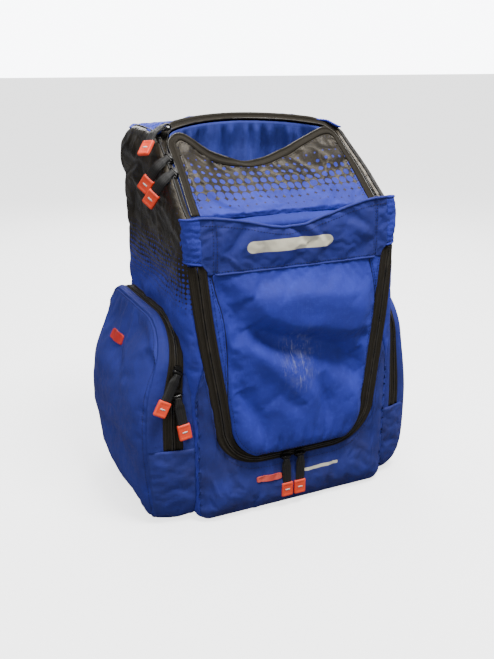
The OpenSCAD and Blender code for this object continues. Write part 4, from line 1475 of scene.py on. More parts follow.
def build_top():
    path, side, up = opening_line()
    half_zip("top_zip", path, side, up, "pack", "top_zip_body_tape", width=TAPE - 0.5)
    # yoke behind the arch
    xs = np.linspace(-141, 141, 120)
    r = ARCH_R + 1
    arch_y = np.maximum(ARCH_CY + np.sqrt(np.clip(r**2 - xs**2, 0, None)), ARCH_FOOT[1] + 4)
    rows = np.linspace(0, 1, 60)
    y1 = YOKE_EDGE + YOKE_ROLL * PI / 2 + 10
    q = np.stack([np.repeat(xs[None], 60, 0), arch_y[None] + rows[:, None] * (y1 - arch_y)[None]], -1)
    x, y = q[..., 0], q[..., 1]
    q[..., 0] *= 1 - 0.12 * smooth(y, 70, 124)
    edge = np.minimum(y - arch_y[None], np.clip(141 - np.abs(x), 0, None))
    h = 1.5 * (1 - smooth(edge, 0, 5)) + 2.5 * (1 - np.exp(-np.clip(edge, 0, None) / 16))
    h += 1.2 * wobble(q, 60, 71) * smooth(edge, 0, 16) - 5 * smooth(np.abs(x), 124, 139) * smooth(-y, 0, 30)
    h = folds(h, q, [(-3, 10, (-120, 10), (-70, 60), (-30, 96)), (-3, 10, (120, 10), (80, 56), (40, 98))])
    yoke = Patch("yoke_cloth", q, top_sheet, h)
    yoke.settle(slack=0.02, pressure=0.2, cap=3, bend=1.0)
    yoke.wear(4)
    a = np.linspace(PI - 0.62, 0.62, 90)
    line = np.stack([(r + 5) * np.cos(a), ARCH_CY + (r + 5) * np.sin(a)], -1)
    p, n = yoke.at(line)
    finish_piece(stitches("yoke_stitch", p, n), "thread", "pack")
    thicken(yoke.obj, 2.0)
    finish_piece(yoke.obj, "blue", "pack", ["yoke_panel"])
    # lining: a gathered curtain that hangs from the opening's edge to the floor of the compartment
    top_pts = path - side * 1.0 - up * 2.0
    n = len(top_pts)
    rows = 46
    arc_part = smooth(path[:, 1], -50, -20)
    plan_out = unit(side * [1, 1, 0])
    pts = np.zeros((rows, n, 3))
    length = run(top_pts)
    for k in range(rows):
        f = k / (rows - 1)
        z = lerp(top_pts[:, 2], shelf_z + 1.5, f)
        out = 6 * smooth(f, 0, 0.25) + 4 * smooth(f, 0.3, 1.0)
        ruffle = np.sin(length / 4.1 + 2.6 * np.sin(length / 23))
        ruffle = ruffle + 0.6 * np.sin(length / 2.3 + np.sin(length / 11))
        gather = ruffle * 2.6 * smooth(f, 0.01, 0.10) * (1 - smooth(f, 0.12, 0.5) * 0.8) * arc_part
        drape = np.sin(length / 13 + 1.5 * np.sin(length / 40) + 2 * f)
        gather += 6.0 * drape * smooth(f, 0.04, 0.4) * arc_part
        pts[k] = top_pts + plan_out * (out * lerp(0.35, 1.0, arc_part) + gather)[:, None]
        pts[k, :, 2] = z
        limit = side_x - 8
        shift = slump(np.stack([np.zeros(n), np.zeros(n), z], -1))[:, 0]
        pts[k, :, 0] = np.clip(pts[k, :, 0], -limit + shift, limit + shift)
        pts[k, :, 1] = np.clip(pts[k, :, 1], low("top_floor")[1] + 3, low("frame_sheet")[1] - 3)
    qg = np.stack(np.meshgrid(length, np.linspace(0, 140, rows)), -1)
    lining = Patch("top_lining_cloth", qg, lambda a, b: pts, 0)
    flip_if_inward(lining.obj, -np.repeat(plan_out[None], rows, 0).reshape(-1, 3)[: rows * n : n])
    pin = np.zeros((rows, n), bool)
    pin[:2] = True
    lining.settle(pin=pin, slack=0.03, pressure=0.0, cap=3, bend=0.5)
    thicken(lining.obj, 0.8, offset=0)
    finish_piece(lining.obj, "lining", "pack")


# ------------------------------------------------------------------ side pockets

def pocket_blend(side):
    """A bend for cloth meant to turn about the fold line, which runs from the zip's front end to its rear
    end; finish_piece does not use it, so the cloth does not turn.
    """
    up = np.array([-fold_dir[1], fold_dir[0]])
    x = side * pocket_out
    a, b = fold_front - up * 7, fold_front + up * 7
    return bend(f"pocket_{WORD[side]}_flap", (x, *a), (x, *b))


def build_pocket(side):
    word = WORD[side]
    blend = pocket_blend(side)
    gusset = gusset_sheet(side)
    face = face_sheet(side)
    s_front = loop_s(pocket_front, fold_front[1] + 2)
    rear_z = fold_front[1] + (pocket_rear - pocket_front) * fold_dir[1] / fold_dir[0] + 5
    s_rear = loop_s(pocket_rear, rear_z)
    # zip, its chain running along the gusset
    ss = np.arange(s_front, s_rear, 3.0)
    chain = np.stack([np.full(len(ss), pocket_chain), ss], -1)
    for name, sign, body, node in (("inner", -1, "pack", "body"), ("outer", 1, blend, "flap")):
        p, sd, up, place = lay_line(gusset, chain, np.full(len(ss), 1.4), lambda q: [sign, 0.0] + 0 * q)
        half_zip(f"pocket_{word}_zip_{name}", p, sd, up, body, f"pocket_{word}_{node}_tape", place=place)
    # gusset strips either side of the zip, and the closed gusset below
    total = LOOP_S[-1]

    def strip(x0, x1, cols, seed, bulge):
        s0, s1 = s_front - 2, s_rear + 2
        q = np.stack(np.meshgrid(np.linspace(x0, x1, cols), np.linspace(s0, s1, int((s1 - s0) / 3.0))), -1)
        across = np.sin(PI * (q[..., 0] - x0) / (x1 - x0))
        return q, 0.3 + bulge * across + 0.8 * wobble(q, 40, seed) * across

    e = TAPE - 1
    q, h = strip(pocket_in - 1, pocket_chain - e, 8, 81, 1.0)
    inner = Patch(f"pocket_{word}_gusset_inner", q, gusset, h, flip=side > 0)
    inner.wear(3)
    thicken(inner.obj, 1.8)
    finish_piece(inner.obj, "pocket", "pack")
    q, h = strip(pocket_chain + e, pocket_out - 5, 12, 82, 1.6)
    outer = Patch(f"pocket_{word}_gusset_outer", q, gusset, h, flip=side > 0)
    outer.wear(3)
    p, n = outer.at(np.stack([np.full(160, pocket_chain + e + 2.6), np.linspace(s_front, s_rear, 160)], -1))
    finish_piece(stitches(f"pocket_{word}_stitch_outer", p, n), "thread", blend)
    thicken(outer.obj, 1.8)
    finish_piece(outer.obj, "pocket", blend)
    # below the zip: front, floor and rear in one strip that starts behind and ends in front
    s_wrap = np.r_[np.linspace(s_rear, total, 110)[:-1], np.linspace(total, total + s_front, 60)]
    xs = np.linspace(pocket_in - 1, pocket_out - 5, 24)
    q = np.stack(np.meshgrid(xs, s_wrap), -1)
    real = q.copy()
    real[..., 1] = np.mod(real[..., 1], total)
    t = (q[..., 0] - xs[0]) / (xs[-1] - xs[0])
    h = 0.3 + 3.5 * np.sin(PI * t) + 1.3 * wobble(q, 46, 83) * np.sin(PI * t)
    h = np.where(np.abs(q[..., 1] - total) < 70, np.minimum(h, 0.2), h)
    pts = gusset(real, h)
    lower = Patch(f"pocket_{word}_gusset_lower", q, lambda a, b: pts, 0, flip=side > 0)
    lower.settle(slack=0.02, pressure=0.2, cap=2.5, bend=1.0)
    lower.wear(3)
    line = np.stack([np.linspace(pocket_in, pocket_out - 5, 30), np.full(30, total + s_front - 2.0)], -1)
    p, n = lower.at(line, 0.7)
    finish_piece(cord(f"pocket_{word}_front_piping", p, n, 1.1), "pipe", "pack")
    thicken(lower.obj, 1.8)
    finish_piece(lower.obj, "gusset", "pack")
    # outer face
    ys = np.r_[
        pocket_front + graded(0, 34, 90, 2.6),
        np.linspace(pocket_front + 92, pocket_rear - 60, 26)[1:-1],
        (pocket_rear - graded(0, 26, 60, 2.6))[::-1],
    ]
    ys = np.unique(np.round(ys, 3))
    def drop(front_r, rear_r):
        """How far the outline's round corners take it in at ys."""
        front = np.clip(pocket_front + front_r - ys, 0, front_r)
        rear = np.clip(ys - (pocket_rear - rear_r), 0, rear_r)
        return front_r - np.sqrt(front_r**2 - front**2) + rear_r - np.sqrt(rear_r**2 - rear**2)

    top, bottom = pocket_h - drop(TOP_FRONT_R, TOP_REAR_R), drop(FOOT_FRONT_R, FOOT_REAR_R)
    rows = np.linspace(0, 1, 92)
    q = np.stack([np.repeat(ys[None], 92, 0), bottom[None] + rows[:, None] * (top - bottom)[None]], -1)
    y, z = q[..., 0], q[..., 1]
    edge = np.minimum(y - pocket_front, pocket_rear - y)
    edge = np.minimum(edge, np.minimum(top[None] - z, z - bottom[None]))
    inside = np.clip(edge, 0, 60)
    h = -6 + 6 * (1 - np.exp(-inside / 4)) + 10 * (1 - np.exp(-inside / 34))
    free = smooth(edge, 0, 30)
    h += 1.6 * wobble(q, 80, 91 if side < 0 else 92) * free
    h = folds(h, q, [
        (-4, 14, (-100, 70), (-30, 100), (60, 84)),
        (3.5, 14, (-90, 40), (-10, 52), (80, 40)),
        (-3, 12, (-98, 205), (-40, 190), (30, 215)),
        (-2.5, 12, (10, 262), (-10, 200), (-50, 150)),
        (2.5, 16, (70, 240), (60, 170), (84, 110)),
    ], free)
    panel = Patch(f"pocket_{word}_face_cloth", q, face, h, flip=side < 0)
    panel.settle(slack=0.016, pressure=0.25, cap=3.0, bend=2.4)
    panel.wear(4)
    loop, nn = (between(np.arange(0, total, 3), LOOP_S, values) for values in (LOOP, LOOP_N))
    p, n = panel.at(loop - nn * 3.4)
    finish_piece(stitches(f"pocket_{word}_stitch_face", p, n), "thread", blend)
    pth = swell(side, np.stack([np.full(len(loop), side * (pocket_out - 5.5)), loop[:, 0], loop[:, 1]], -1))
    nrm = np.stack([np.zeros(len(loop)), nn[:, 0], nn[:, 1]], -1)
    finish_piece(cord(f"pocket_{word}_welt", pth, nrm, 1.5), "pocket", blend)
    label(panel, f"pocket_{word}_badge", f"pocket_{word}_label", 1, "red", blend, 8)
    thicken(panel.obj, 1.8)
    finish_piece(panel.obj, "pocket", blend, [f"pocket_{word}_shell", f"pocket_{word}_flap"])


# ------------------------------------------------------------------ sliders and pulls


def local_frame(joint, normal):
    """The slider's own axes: x along its bail bar, z off the tape, and the pull towards -y."""
    j = JOINTS[joint]
    x = -unit(np.array(j["axis"]))
    z = unit(np.array(normal, float))
    y = np.cross(z, x)
    return np.stack([x, y, z], 1)


def at_frame(points, origin, axes):
    return np.asarray(points) @ axes.T + origin


BAR = 6.5


def slider_piece(name, origin, axes, travel, body):
    """Two shield-shaped plates with side flanges, and a bridge that carries the pull."""
    t = travel - axes[:, 2] * (travel @ axes[:, 2])
    t = unit(t)
    side = np.cross(axes[:, 2], t)
    base = np.stack([side, t, axes[:, 2]], 1)
    bm = bmesh.new()
    right = [(3, -8), (5.2, -6.4), (6, -3), (5.6, 3), (3.2, 7.4)]
    outline = [(-x, y) for x, y in right[2::-1]] + right + [(0, 8.2)] + [(-x, y) for x, y in right[:2:-1]]
    for z0, z1, k in ((0.2, 1.5, 1.0), (2.4, 3.8, 0.94)):
        lower = [bm.verts.new((a * k, b * k, z0)) for a, b in outline]
        upper = [bm.verts.new((a * k, b * k, z1)) for a, b in outline]
        bm.faces.new(lower[::-1])
        bm.faces.new(upper)
        n = len(outline)
        for i in range(n):
            bm.faces.new((lower[i], lower[(i + 1) % n], upper[(i + 1) % n], upper[i]))
    for sx in (-1, 1):
        flange = ((4.2, -5), (5.7, -3.5), (5.2, 4), (4.0, 5))
        vs = [bm.verts.new((sx * x, y, z)) for z in (1.2, 2.6) for x, y in flange]
        a, b = vs[:4], vs[4:]
        if sx > 0:
            a, b = a[::-1], b[::-1]
        bm.faces.new(a)
        bm.faces.new(b[::-1])
        for i in range(4):
            bm.faces.new((a[(i + 1) % 4], a[i], b[i], b[(i + 1) % 4]))
    mesh = bpy.data.meshes.new(name + "_metal")
    bm.to_mesh(mesh)
    bm.free()
    plate = bpy.data.objects.new(name + "_metal", mesh)
    bpy.context.scene.collection.objects.link(plate)
    co = coords(plate)
    foot = origin - axes[:, 2] * BAR
    set_coords(plate, at_frame(co, foot, base) / 1000)
    # bridge: an arch that carries the bar
    bar = axes[:, 0]
    w = 6.2
    arch = [(-w, 2.8), (-w * 1.02, 5.0), (-w * 0.86, BAR + 0.4), (-w * 0.5, BAR + 1.0), (0, BAR + 1.1),
            (w * 0.5, BAR + 1.0), (w * 0.86, BAR + 0.4), (w * 1.02, 5.0), (w, 2.8)]
    path = soften(np.array([foot + bar * a + axes[:, 2] * b for a, b in arch]), 2)
    nrm = np.repeat([axes[:, 1]], len(path), 0)
    bridge = cord(name + "_bridge", path, nrm, 1.25, 10, 1.25)
    o = join(name + "_metal", [plate, bridge])
    bev = o.modifiers.new("edges", "BEVEL")
    bev.width = 0.00035
    bev.segments = 2
    bev.limit_method = "ANGLE"
    finish_piece(o, "metal", body, [name])


def pull_piece(name, origin, axes, a1, reach, a2, body, sway=0.0, length=62.0, tip=21.0):
    """A folded webbing loop that hangs from the bar, stitched across, with a moulded tip."""
    r1, r2 = math.radians(a1), math.radians(a2)
    knee = -reach * np.array([math.cos(r1), math.sin(r1)])
    rest = length - tip - reach
    end = knee - rest * np.array([math.cos(r2), math.sin(r2)])
    start = -2.6 * np.array([math.cos(r1), math.sin(r1)])
    mid = resample(soften(np.array([start, knee * 0.55, knee, lerp(knee, end, 0.5), end]), 3), 1.2)
    n = len(mid)
    f = np.linspace(0, 1, n)
    t = tangents(mid)
    nrm = np.stack([-t[:, 1], t[:, 0]], -1)
    nrm = np.where(nrm[:, 1:] < 0, -nrm, nrm)
    width = lerp(3.6, 6.2, smooth(f, 0.06, 0.36))
    verts, faces = [], []
    for layer in (1, -1):
        gap = 1.25 * (1 - smooth(f, 0.22, 0.42)) + 0.55
        base = len(verts)
        prof = [(-1.0, -0.5), (-1.04, 0.0), (-1.0, 0.5), (0, 0.62)]
        prof += [(-x, -y) for x, y in prof]
        for i in range(n):
            for a, b in prof:
                p2 = mid[i] + nrm[i] * (layer * gap[i] + b)
                verts.append((a * width[i] + sway * f[i] ** 2, p2[0], p2[1]))
        m = len(prof)
        faces += tube_faces(n, m, base)
    uv = np.array([(v[1], v[0]) for v in verts])
    ribbon = to_object(name + "_webbing", at_frame(verts, origin, axes), faces, uv=uv)
    # tip
    d = np.array([math.cos(r2), math.sin(r2)])
    c2 = end - d * (tip / 2 - 1.5)
    up2 = np.array([-d[1], d[0]])
    if up2[1] < 0:
        up2 = -up2
    rows, cols = 22, 32
    tv = []
    for i in range(rows):
        v = -1 + 2 * i / (rows - 1)
        along = math.copysign(abs(v) ** 0.8, v) * tip / 2
        cap = (1 - abs(v) ** 7) ** (1 / 3.0)
        for j in range(cols):
            a = 2 * PI * j / cols
            ca, sa = math.cos(a), math.sin(a)
            sx = math.copysign(abs(ca) ** 0.32, ca) * 8.6
            sz = math.copysign(abs(sa) ** 0.45, sa) * 2.7
            dish = 0.55 * (1 - smooth(abs(sx), 5.2, 6.6))
            dish = dish * (1 - smooth(abs(along), tip / 2 - 4.2, tip / 2 - 2.8))
            sz = sz - math.copysign(dish, sa)
            p2 = c2 - d * along + up2 * (sz * lerp(0.55, 1.0, cap))
            tv.append((sx * lerp(0.86, 1.0, cap) + sway, p2[0], p2[1]))
    rubber = to_object(name + "_tip", at_frame(tv, origin, axes), tube_faces(rows, cols))
    # a plain moulded dash on the outer side of the tip
    dash = []
    k = 16
    for layer in (0.0, 0.45):
        for j in range(k):
            a = 2 * PI * j / k
            px = 3.6 * math.copysign(abs(math.cos(a)) ** 0.6, math.cos(a))
            py = 1.1 * math.copysign(abs(math.sin(a)) ** 0.6, math.sin(a))
            p2 = c2 - d * py + up2 * (2.05 + layer)
            dash.append((px + sway, p2[0], p2[1]))
    df = [tuple(range(k))[::-1], tuple(k + i for i in range(k))]
    df += [(i, (i + 1) % k, k + (i + 1) % k, k + i) for i in range(k)]
    mark = to_object(name + "_dash", at_frame(dash, origin, axes), df)
    finish_piece(ribbon, "web", body, [name])
    finish_piece(rubber, "rubber", body)
    finish_piece(mark, "ink", body)
    for o in (ribbon, rubber, mark):
        fix_normals(o)


def fix_normals(obj):
    bm = bmesh.new()
    bm.from_mesh(obj.data)
    bmesh.ops.recalc_face_normals(bm, faces=bm.faces)
    bm.to_mesh(obj.data)
    bm.free()


def build_sliders():
    c, s = math.cos(LID_SLOPE), math.sin(LID_SLOPE)
    lid_n = (0, -s, c)
    bar = np.array(JOINTS["arch_pull"]["pos_m"]) * 1000
    lean = math.asin(min(abs(bar[0]) / CROWN_R, 1))
    rows = [
        ("door_left", (0, -1, 0), (0, 10, 0), 1.5),
        ("door_right", (0, -1, 0), (0, 10, 0), -1.0),
        ("arch", (-math.sin(lean), 0, math.cos(lean)), (8, 26, 40), 0.0),
        ("lid_upper", lid_n, (14, 21, 66), 0.0),
        ("lid_lower", lid_n, (14, 21, 66), 0.0),
    ]
    rows += [("pocket_left_" + place, (0, -1, 0), (-5, 12, -5), 0.0) for place in ("upper", "lower")]
    rows += [("pocket_right_" + place, (0, 0, 1), (-5, 12, -5), 0.0) for place in ("front", "rear")]
    for name, normal, (a1, reach, a2), sway in rows:
        joint = name + "_pull"
        axes = local_frame(joint, normal)
        at = joint_at(joint)
        if name.startswith("pocket"):
            side = -1 if "left" in name else 1
            at = swell(side, at)
            at = at + np.array([side * 4.2, 0, 0]) + np.array(normal)
        elif name.startswith("door"):
            at = slump(at) + np.array([0, -0.6, 3.8])
        else:
            at = slump(at) + np.array([3.0, 0, 0])
        travel = np.array(JOINTS[name + "_slide"]["axis"])
        slider_piece("slider_" + name, at, axes, travel, "slider_" + name)
        pull_piece("pull_" + name, at, axes, a1, reach, a2, "pull_" + name, sway)


# ------------------------------------------------------------------ back, base and harness


def build_back():
    half_round = RING_CORNER + (back_y - BACK_R) - (front_y + FRONT_R) + BACK_R * PI / 2 + side_x - BACK_R
    reach = half_round - side_top()[-1, 0] + 3
    top = body_h - 27
    xs = np.linspace(-reach, reach, 110)
    zs = np.linspace(3, top, 120)
    g = np.stack(np.meshgrid(xs, zs), -1)

    def lay(q, h=0.0):
        x, y, nx, ny = ring(half_round - np.abs(q[..., 0]))
        corner = np.clip(np.abs(q[..., 0]) - 100, 0, None) * np.clip(q[..., 1] - top + 30, 0, None) * 0.012
        return slump(np.stack([np.sign(q[..., 0]) * (x + nx * h), y + ny * h - corner, q[..., 1]], -1))

    h = -0.6 + 1.2 * wobble(g, 90, 101)
    h += crease(g, [(0, 10), (0, 480)], -2.0, 12, taper=False)
    back = Patch("back_cloth", g, lay, np.minimum(h, 0.2), flip=True)
    back.wear(4)
    for side in (-1, 1):
        p, n = back.at(np.stack([np.full(120, side * (reach - 1.5)), np.linspace(6, top - 4, 120)], -1), 0.8)
        finish_piece(cord("back_piping_" + WORD[side], p, n, 1.7), "binding", "pack")
    thicken(back.obj, 2.4)
    finish_piece(back.obj, "navy", "pack", ["back_panel"])
    for word, box in (("upper_left", (-118, 224, -14, 392)), ("upper_right", (14, 224, 118, 392)),
                      ("lower", (-92, 70, 92, 190))):
        pad("back_pad_" + word, box)


def rounded_grid(x0, z0, x1, z1, r, nx, nz):
    """Grid points over a rounded rectangle."""
    u = np.linspace(-1, 1, nx)
    v = np.linspace(-1, 1, nz)
    uu, vv = np.meshgrid(u, v)
    hw, hh = (x1 - x0) / 2, (z1 - z0) / 2
    x, z = uu * hw, vv * hh
    cx, cz = hw - r, hh - r
    ax, az = np.abs(x), np.abs(z)
    # pull the corner square in onto its quarter circle
    big = np.maximum(ax / hw, az / hh)
    dirx, dirz = x / np.maximum(big, 1e-6), z / np.maximum(big, 1e-6)
    bx, bz = np.abs(dirx), np.abs(dirz)
    inx, inz = np.clip(bx - cx, 0, None), np.clip(bz - cz, 0, None)
    both = (inx > 0) & (inz > 0)
    d = np.hypot(inx, inz)
    k = np.where(both & (d > r), r / np.maximum(d, 1e-6), 1.0)
    nbx = np.where(both, cx + inx * k, bx)
    nbz = np.where(both, cz + inz * k, bz)
    x = np.sign(x) * nbx * big
    z = np.sign(z) * nbz * big
    return np.stack([x + (x0 + x1) / 2, z + (z0 + z1) / 2], -1), big


def pad(name, box, r=26):
    """A foam pad under spacer mesh, inflated by Cloth, with sewn channels and a bound edge."""
    x0, z0, x1, z1 = box
    q, big = rounded_grid(x0, z0, x1, z1, r, 56, 60)
    edge = (1 - big) * min(x1 - x0, z1 - z0) / 2
    h = 1 + 8.5 * (1 - np.exp(-edge / 9))

    def lay(a, b=0.0):
        return np.stack([a[..., 0], back_y + 0.6 + b + 0 * a[..., 0], a[..., 1]], -1)

    for k in (1, 2):
        z = lerp(z0, z1, k / 3)
        channel = [(x0 + 14, z), ((x0 + x1) / 2, z - 8), (x1 - 14, z)]
        h += crease(q, channel, -4.5, 4.5, taper=False) * smooth(edge, 4, 14)
    patch = Patch(name, q, lay, h, flip=True)
    patch.settle(slack=0.02, pressure=0.6, cap=2.0, bend=0.6, frames=10)
    ring_q = np.vstack([q[0], q[:, -1], q[-1][::-1], q[::-1, 0]])
    p, n = patch.at(resample(ring_q, 3.0), 0.4)
    n = same((0.0, 1.0, 0.0), len(p))
    finish_piece(cord(name + "_binding", p, n, 1.9), "binding", "pack")
    thicken(patch.obj, 1.0)
    finish_piece(patch.obj, "mesh", "pack", ["back_pads"] if "lower" in name else [])


def build_base():
    q, big = rounded_grid(-side_x + 4, front_y + 4, side_x - 4, back_y - 2, 20, 70, 66)

    def lay(a, b=0.0):
        return slump(np.stack([a[..., 0], a[..., 1], b + 0 * a[..., 0]], -1))

    h = 0.6 + 5.0 * smooth(big, 0.95, 1.0)
    base = Patch("base_cloth", q, lay, h, flip=True)
    thicken(base.obj, 1.6)
    finish_piece(base.obj, "navy", "pack", ["base_panel"])
    ring_q = np.vstack([q[0], q[:, -1], q[-1][::-1], q[::-1, 0]])
    p, n = base.at(resample(ring_q, 4.0))
    finish_piece(cord("base_piping", p, same((0.0, 0.0, -1.0), len(p)), 1.7), "binding", "pack")


STRAP_LEAN = math.radians(8)


def strap_space(side, v):
    """From the strap's own frame, whose origin is over its top anchor, to the row frame."""
    v = np.asarray(v, float)
    x = v[..., 0] * math.cos(STRAP_LEAN) - v[..., 2] * math.sin(STRAP_LEAN)
    z = v[..., 0] * math.sin(STRAP_LEAN) + v[..., 2] * math.cos(STRAP_LEAN)
    return np.stack([side * (strap_top[0] + x), v[..., 1], strap_top[2] + z], -1)


def strap_turn(side, v):
    """A direction of the strap's frame in the row frame."""
    return strap_space(side, v) - strap_space(side, 0 * v)


def strap_line():
    """The pad's middle line in (y, z) of the strap's frame, from its root on the back to its lower end."""
    y0 = strap_top[1]
    p, q = np.array([y0, 0.0]), np.array([y0 + 11, -250.0])
    t = np.linspace(0, 1, 40)[:, None]
    d = unit(q - p)
    bow = p + (q - p) * t + np.array([-d[1], d[0]]) * 40 * np.sin(PI * t)
    root = np.array([[back_y + 4, 30.0], [back_y + 6, 18.0], [y0 - 6, 6.0]])
    return resample(soften(np.vstack([root, bow]), 2), 3.0)


def build_straps():
    line = strap_line()
    f = run(line) / run(line)[-1]
    for side in (-1, 1):
        word = WORD[side]
        body = "shoulder_strap_" + word
        top = joint_at(body + "_swing")
        blend = bend(body, top + [0, -12, 16], top + [0, 14, -26])
        t2 = tangents(line)
        nrm = np.stack([-t2[:, 1], t2[:, 0]], -1)
        nrm = np.where(nrm[:, :1] < 0, -nrm, nrm)
        nrm[:3] = np.abs(nrm[:3])
        nrm = unit(nrm)
        drift = 7 * np.sin(2 * PI * f) * smooth(f, 0, 0.2)
        width = 31 * lerp(0.80, 1.0, smooth(f, 0.0, 0.15)) * lerp(1.0, 0.55, smooth(f, 0.86, 1.0))
        thick = 6.3 * smooth(f, -0.05, 0.10) * lerp(1.0, 0.5, smooth(f, 0.90, 1.0))
        cols = 40
        a = np.linspace(0, 2 * PI, cols, endpoint=False)
        ca, sa = np.cos(a), np.sin(a)
        px = np.sign(ca) * np.abs(ca) ** 0.42
        pz = np.sign(sa) * np.abs(sa) ** 0.72
        n = len(line)
        pts = np.zeros((n, cols, 3))
        groove = 1 - 0.28 * np.exp(-((px[None] * width[:, None] / 6.0) ** 2)) * (pz > 0)[None]
        for i in range(n):
            across = px * width[i] + drift[i]
            above = pz * thick[i] * groove[i]
            p2 = line[i][None] + nrm[i][None] * above[:, None]
            pts[i] = np.stack([across, p2[:, 0], p2[:, 1]], -1)
        pts = strap_space(side, pts)
        faces = grid_faces(n, cols, loop=True, flip=side > 0)
        faces.append(tuple(range(cols)))
        faces.append(tuple((n - 1) * cols + k for k in range(cols))[::-1])
        o = to_object(f"strap_{word}_padding", pts.reshape(-1, 3), faces)
        fix_normals(o)
        pinned = np.zeros((n, cols), bool)
        pinned[:3] = pinned[-3:] = True
        pinned |= (np.abs(sa) < 0.2)[None]
        settle(o, pinned.ravel(), slack=0.015, pressure=0.8, cap=2.0, frames=10)
        finish_piece(o, "mesh", blend, [f"strap_{word}_pad"])
        # bound edges
        for sx, tag in ((-1, "inner"), (1, "outer")):
            p = np.stack([sx * (width + 0.3) + drift, line[:, 0], line[:, 1]], -1)
            nn = np.stack([np.zeros(n), nrm[:, 0], nrm[:, 1]], -1)
            c = cord(f"strap_{word}_binding_{tag}", strap_space(side, p), strap_turn(side, nn), 2.1, 8, 1.7)
            finish_piece(c, "binding", blend)
        # webbing sewn down the middle of the outer face, to the adjuster
        face = line + nrm * (thick * 0.80 + 1.6)[:, None]
        p = np.stack([drift, face[:, 0], face[:, 1]], -1)[4:]
        nn = np.stack([np.zeros(len(p)), nrm[4:, 0], nrm[4:, 1]], -1)
        wp, wn = strap_space(side, p), strap_turn(side, nn)
        web = flat_web(f"strap_{word}_top_webbing", wp, wn, 20, 1.5)
        finish_piece(web, "web", blend)
        for dx, tag in ((-8.4, "a"), (8.4, "b")):
            tt = tangents(wp)
            sd = unit(np.cross(wn, tt))
            st = stitches(f"strap_{word}_stitch_{tag}", wp + sd * dx + wn * 0.8, wn, r=0.4)
            finish_piece(st, "thread_dark", blend)
        # lower webbing from the adjuster to the root at the foot of the back
        y_top, y_low = line[-1, 0] - 2, joint_low_y()
        zs = np.linspace(0, 1, 40)
        span = np.array([(0, lerp(y_top, y_low, t), lerp(-254, -402, t)) for t in zs])
        span[:, 1] += 2.2 * np.sin(PI * zs)
        wp = strap_space(side, span)
        nn = same((0.0, 1.0, 0.0), len(wp))
        web = flat_web(f"strap_{word}_lower_webbing", wp, nn, 25, 1.6)
        finish_piece(web, "web", body, [f"strap_{word}_webbing"])
        tail = span[:30].copy()
        tail[:, 1] += 6 + 10 * np.sin(PI * np.linspace(0, 1, 30) * 0.7)
        tail[:, 0] += 3 * np.linspace(0, 1, 30)
        wp = strap_space(side, tail)
        finish_piece(flat_web(f"strap_{word}_tail_webbing", wp, same((0.0, 1.0, 0.0), 30), 24, 1.5),
                     "web", body)
        roots(side, word)


def joint_low_y():
    return back_y + 6.0


def roots(side, word):
    """Sewn patches where a strap meets the back."""
    x = side * strap_top[0]
    zs = np.linspace(strap_top[2] + 8, strap_top[2] + 44, 16)
    q = np.stack(np.meshgrid(np.linspace(x - 36, x + 36, 30), zs), -1)

    def lay(a, b=0.0):
        return slump(np.stack([a[..., 0], back_y + 1.2 + b + 0 * a[..., 0], a[..., 1]], -1))

    patch = Patch(f"strap_root_{word}", q, lay, 1.2 * np.sin(PI * (q[..., 1] - q[0, 0, 1]) / 36), flip=True)
    thicken(patch.obj, 2.0)
    p, n = patch.at(np.stack([np.linspace(x - 33, x + 33, 40), np.full(40, strap_top[2] + 12.0)], -1), 0.2)
    finish_piece(stitches(f"strap_root_stitch_{word}", p, n, r=0.4), "thread_dark", "pack")
    finish_piece(patch.obj, "web", "pack", ["strap_roots"] if side > 0 else [])
    xl = side * (strap_top[0] + 56)
    tri = np.stack(np.meshgrid(np.linspace(-1, 1, 14), np.linspace(0, 1, 14)), -1)

    def wing(a, b=0.0):
        half = lerp(13.0, 17.0, 1 - a[..., 1])
        return slump(np.stack([xl + a[..., 0] * half, back_y + 2.0 + b + 0 * half, 12 + a[..., 1] * 40], -1))

    w = Patch(f"strap_wing_{word}", tri, wing, 0.8 * np.sin(PI * tri[..., 1]), flip=True)
    thicken(w.obj, 2.4)
    finish_piece(w.obj, "navy", "pack")


def flat_web(name, path, normals, width, thick):
    t = tangents(path)
    side = unit(np.cross(normals, t))
    up = unit(np.cross(t, side))
    a, b = width / 2, thick / 2
    profile = [(-a, -b * 0.5), (-a, b * 0.5), (-a + 0.6, b), (0, b * 1.1), (a - 0.6, b), (a, b * 0.5),
               (a, -b * 0.5), (a - 0.6, -b), (0, -b * 1.1), (-a + 0.6, -b)]
    o = sweep(name, path, side, up, profile, close=True)
    fix_normals(o)
    return o


def build_sternum():
    for side in (-1, 1):
        word = WORD[side]
        body = "sternum_strap_" + word
        lo, hi = low(f"sternum_{word}_webbing"), high(f"sternum_{word}_webbing")
        y = (lo[1] + hi[1]) / 2
        zs = np.linspace(-104, -144, 24)
        p = strap_space(side, np.stack([np.zeros(24), y + 0.8 * np.sin(np.linspace(0, PI, 24)), zs], -1))
        nn = same((0.0, 1.0, 0.0), 24)
        finish_piece(flat_web(f"sternum_{word}_strap", p, nn, 19, 1.6), "web", body,
                     [f"sternum_{word}_webbing"])
        # slide bar on the pad
        bar = np.stack([np.linspace(-17, 17, 16), np.full(16, y - 0.2), np.full(16, -110.0)], -1)
        p = strap_space(side, bar)
        bar = cord(f"sternum_{word}_slide_bar", p, same((0.0, 1.0, 0.0), 16), 2.2, 10)
        finish_piece(bar, "plastic", body)


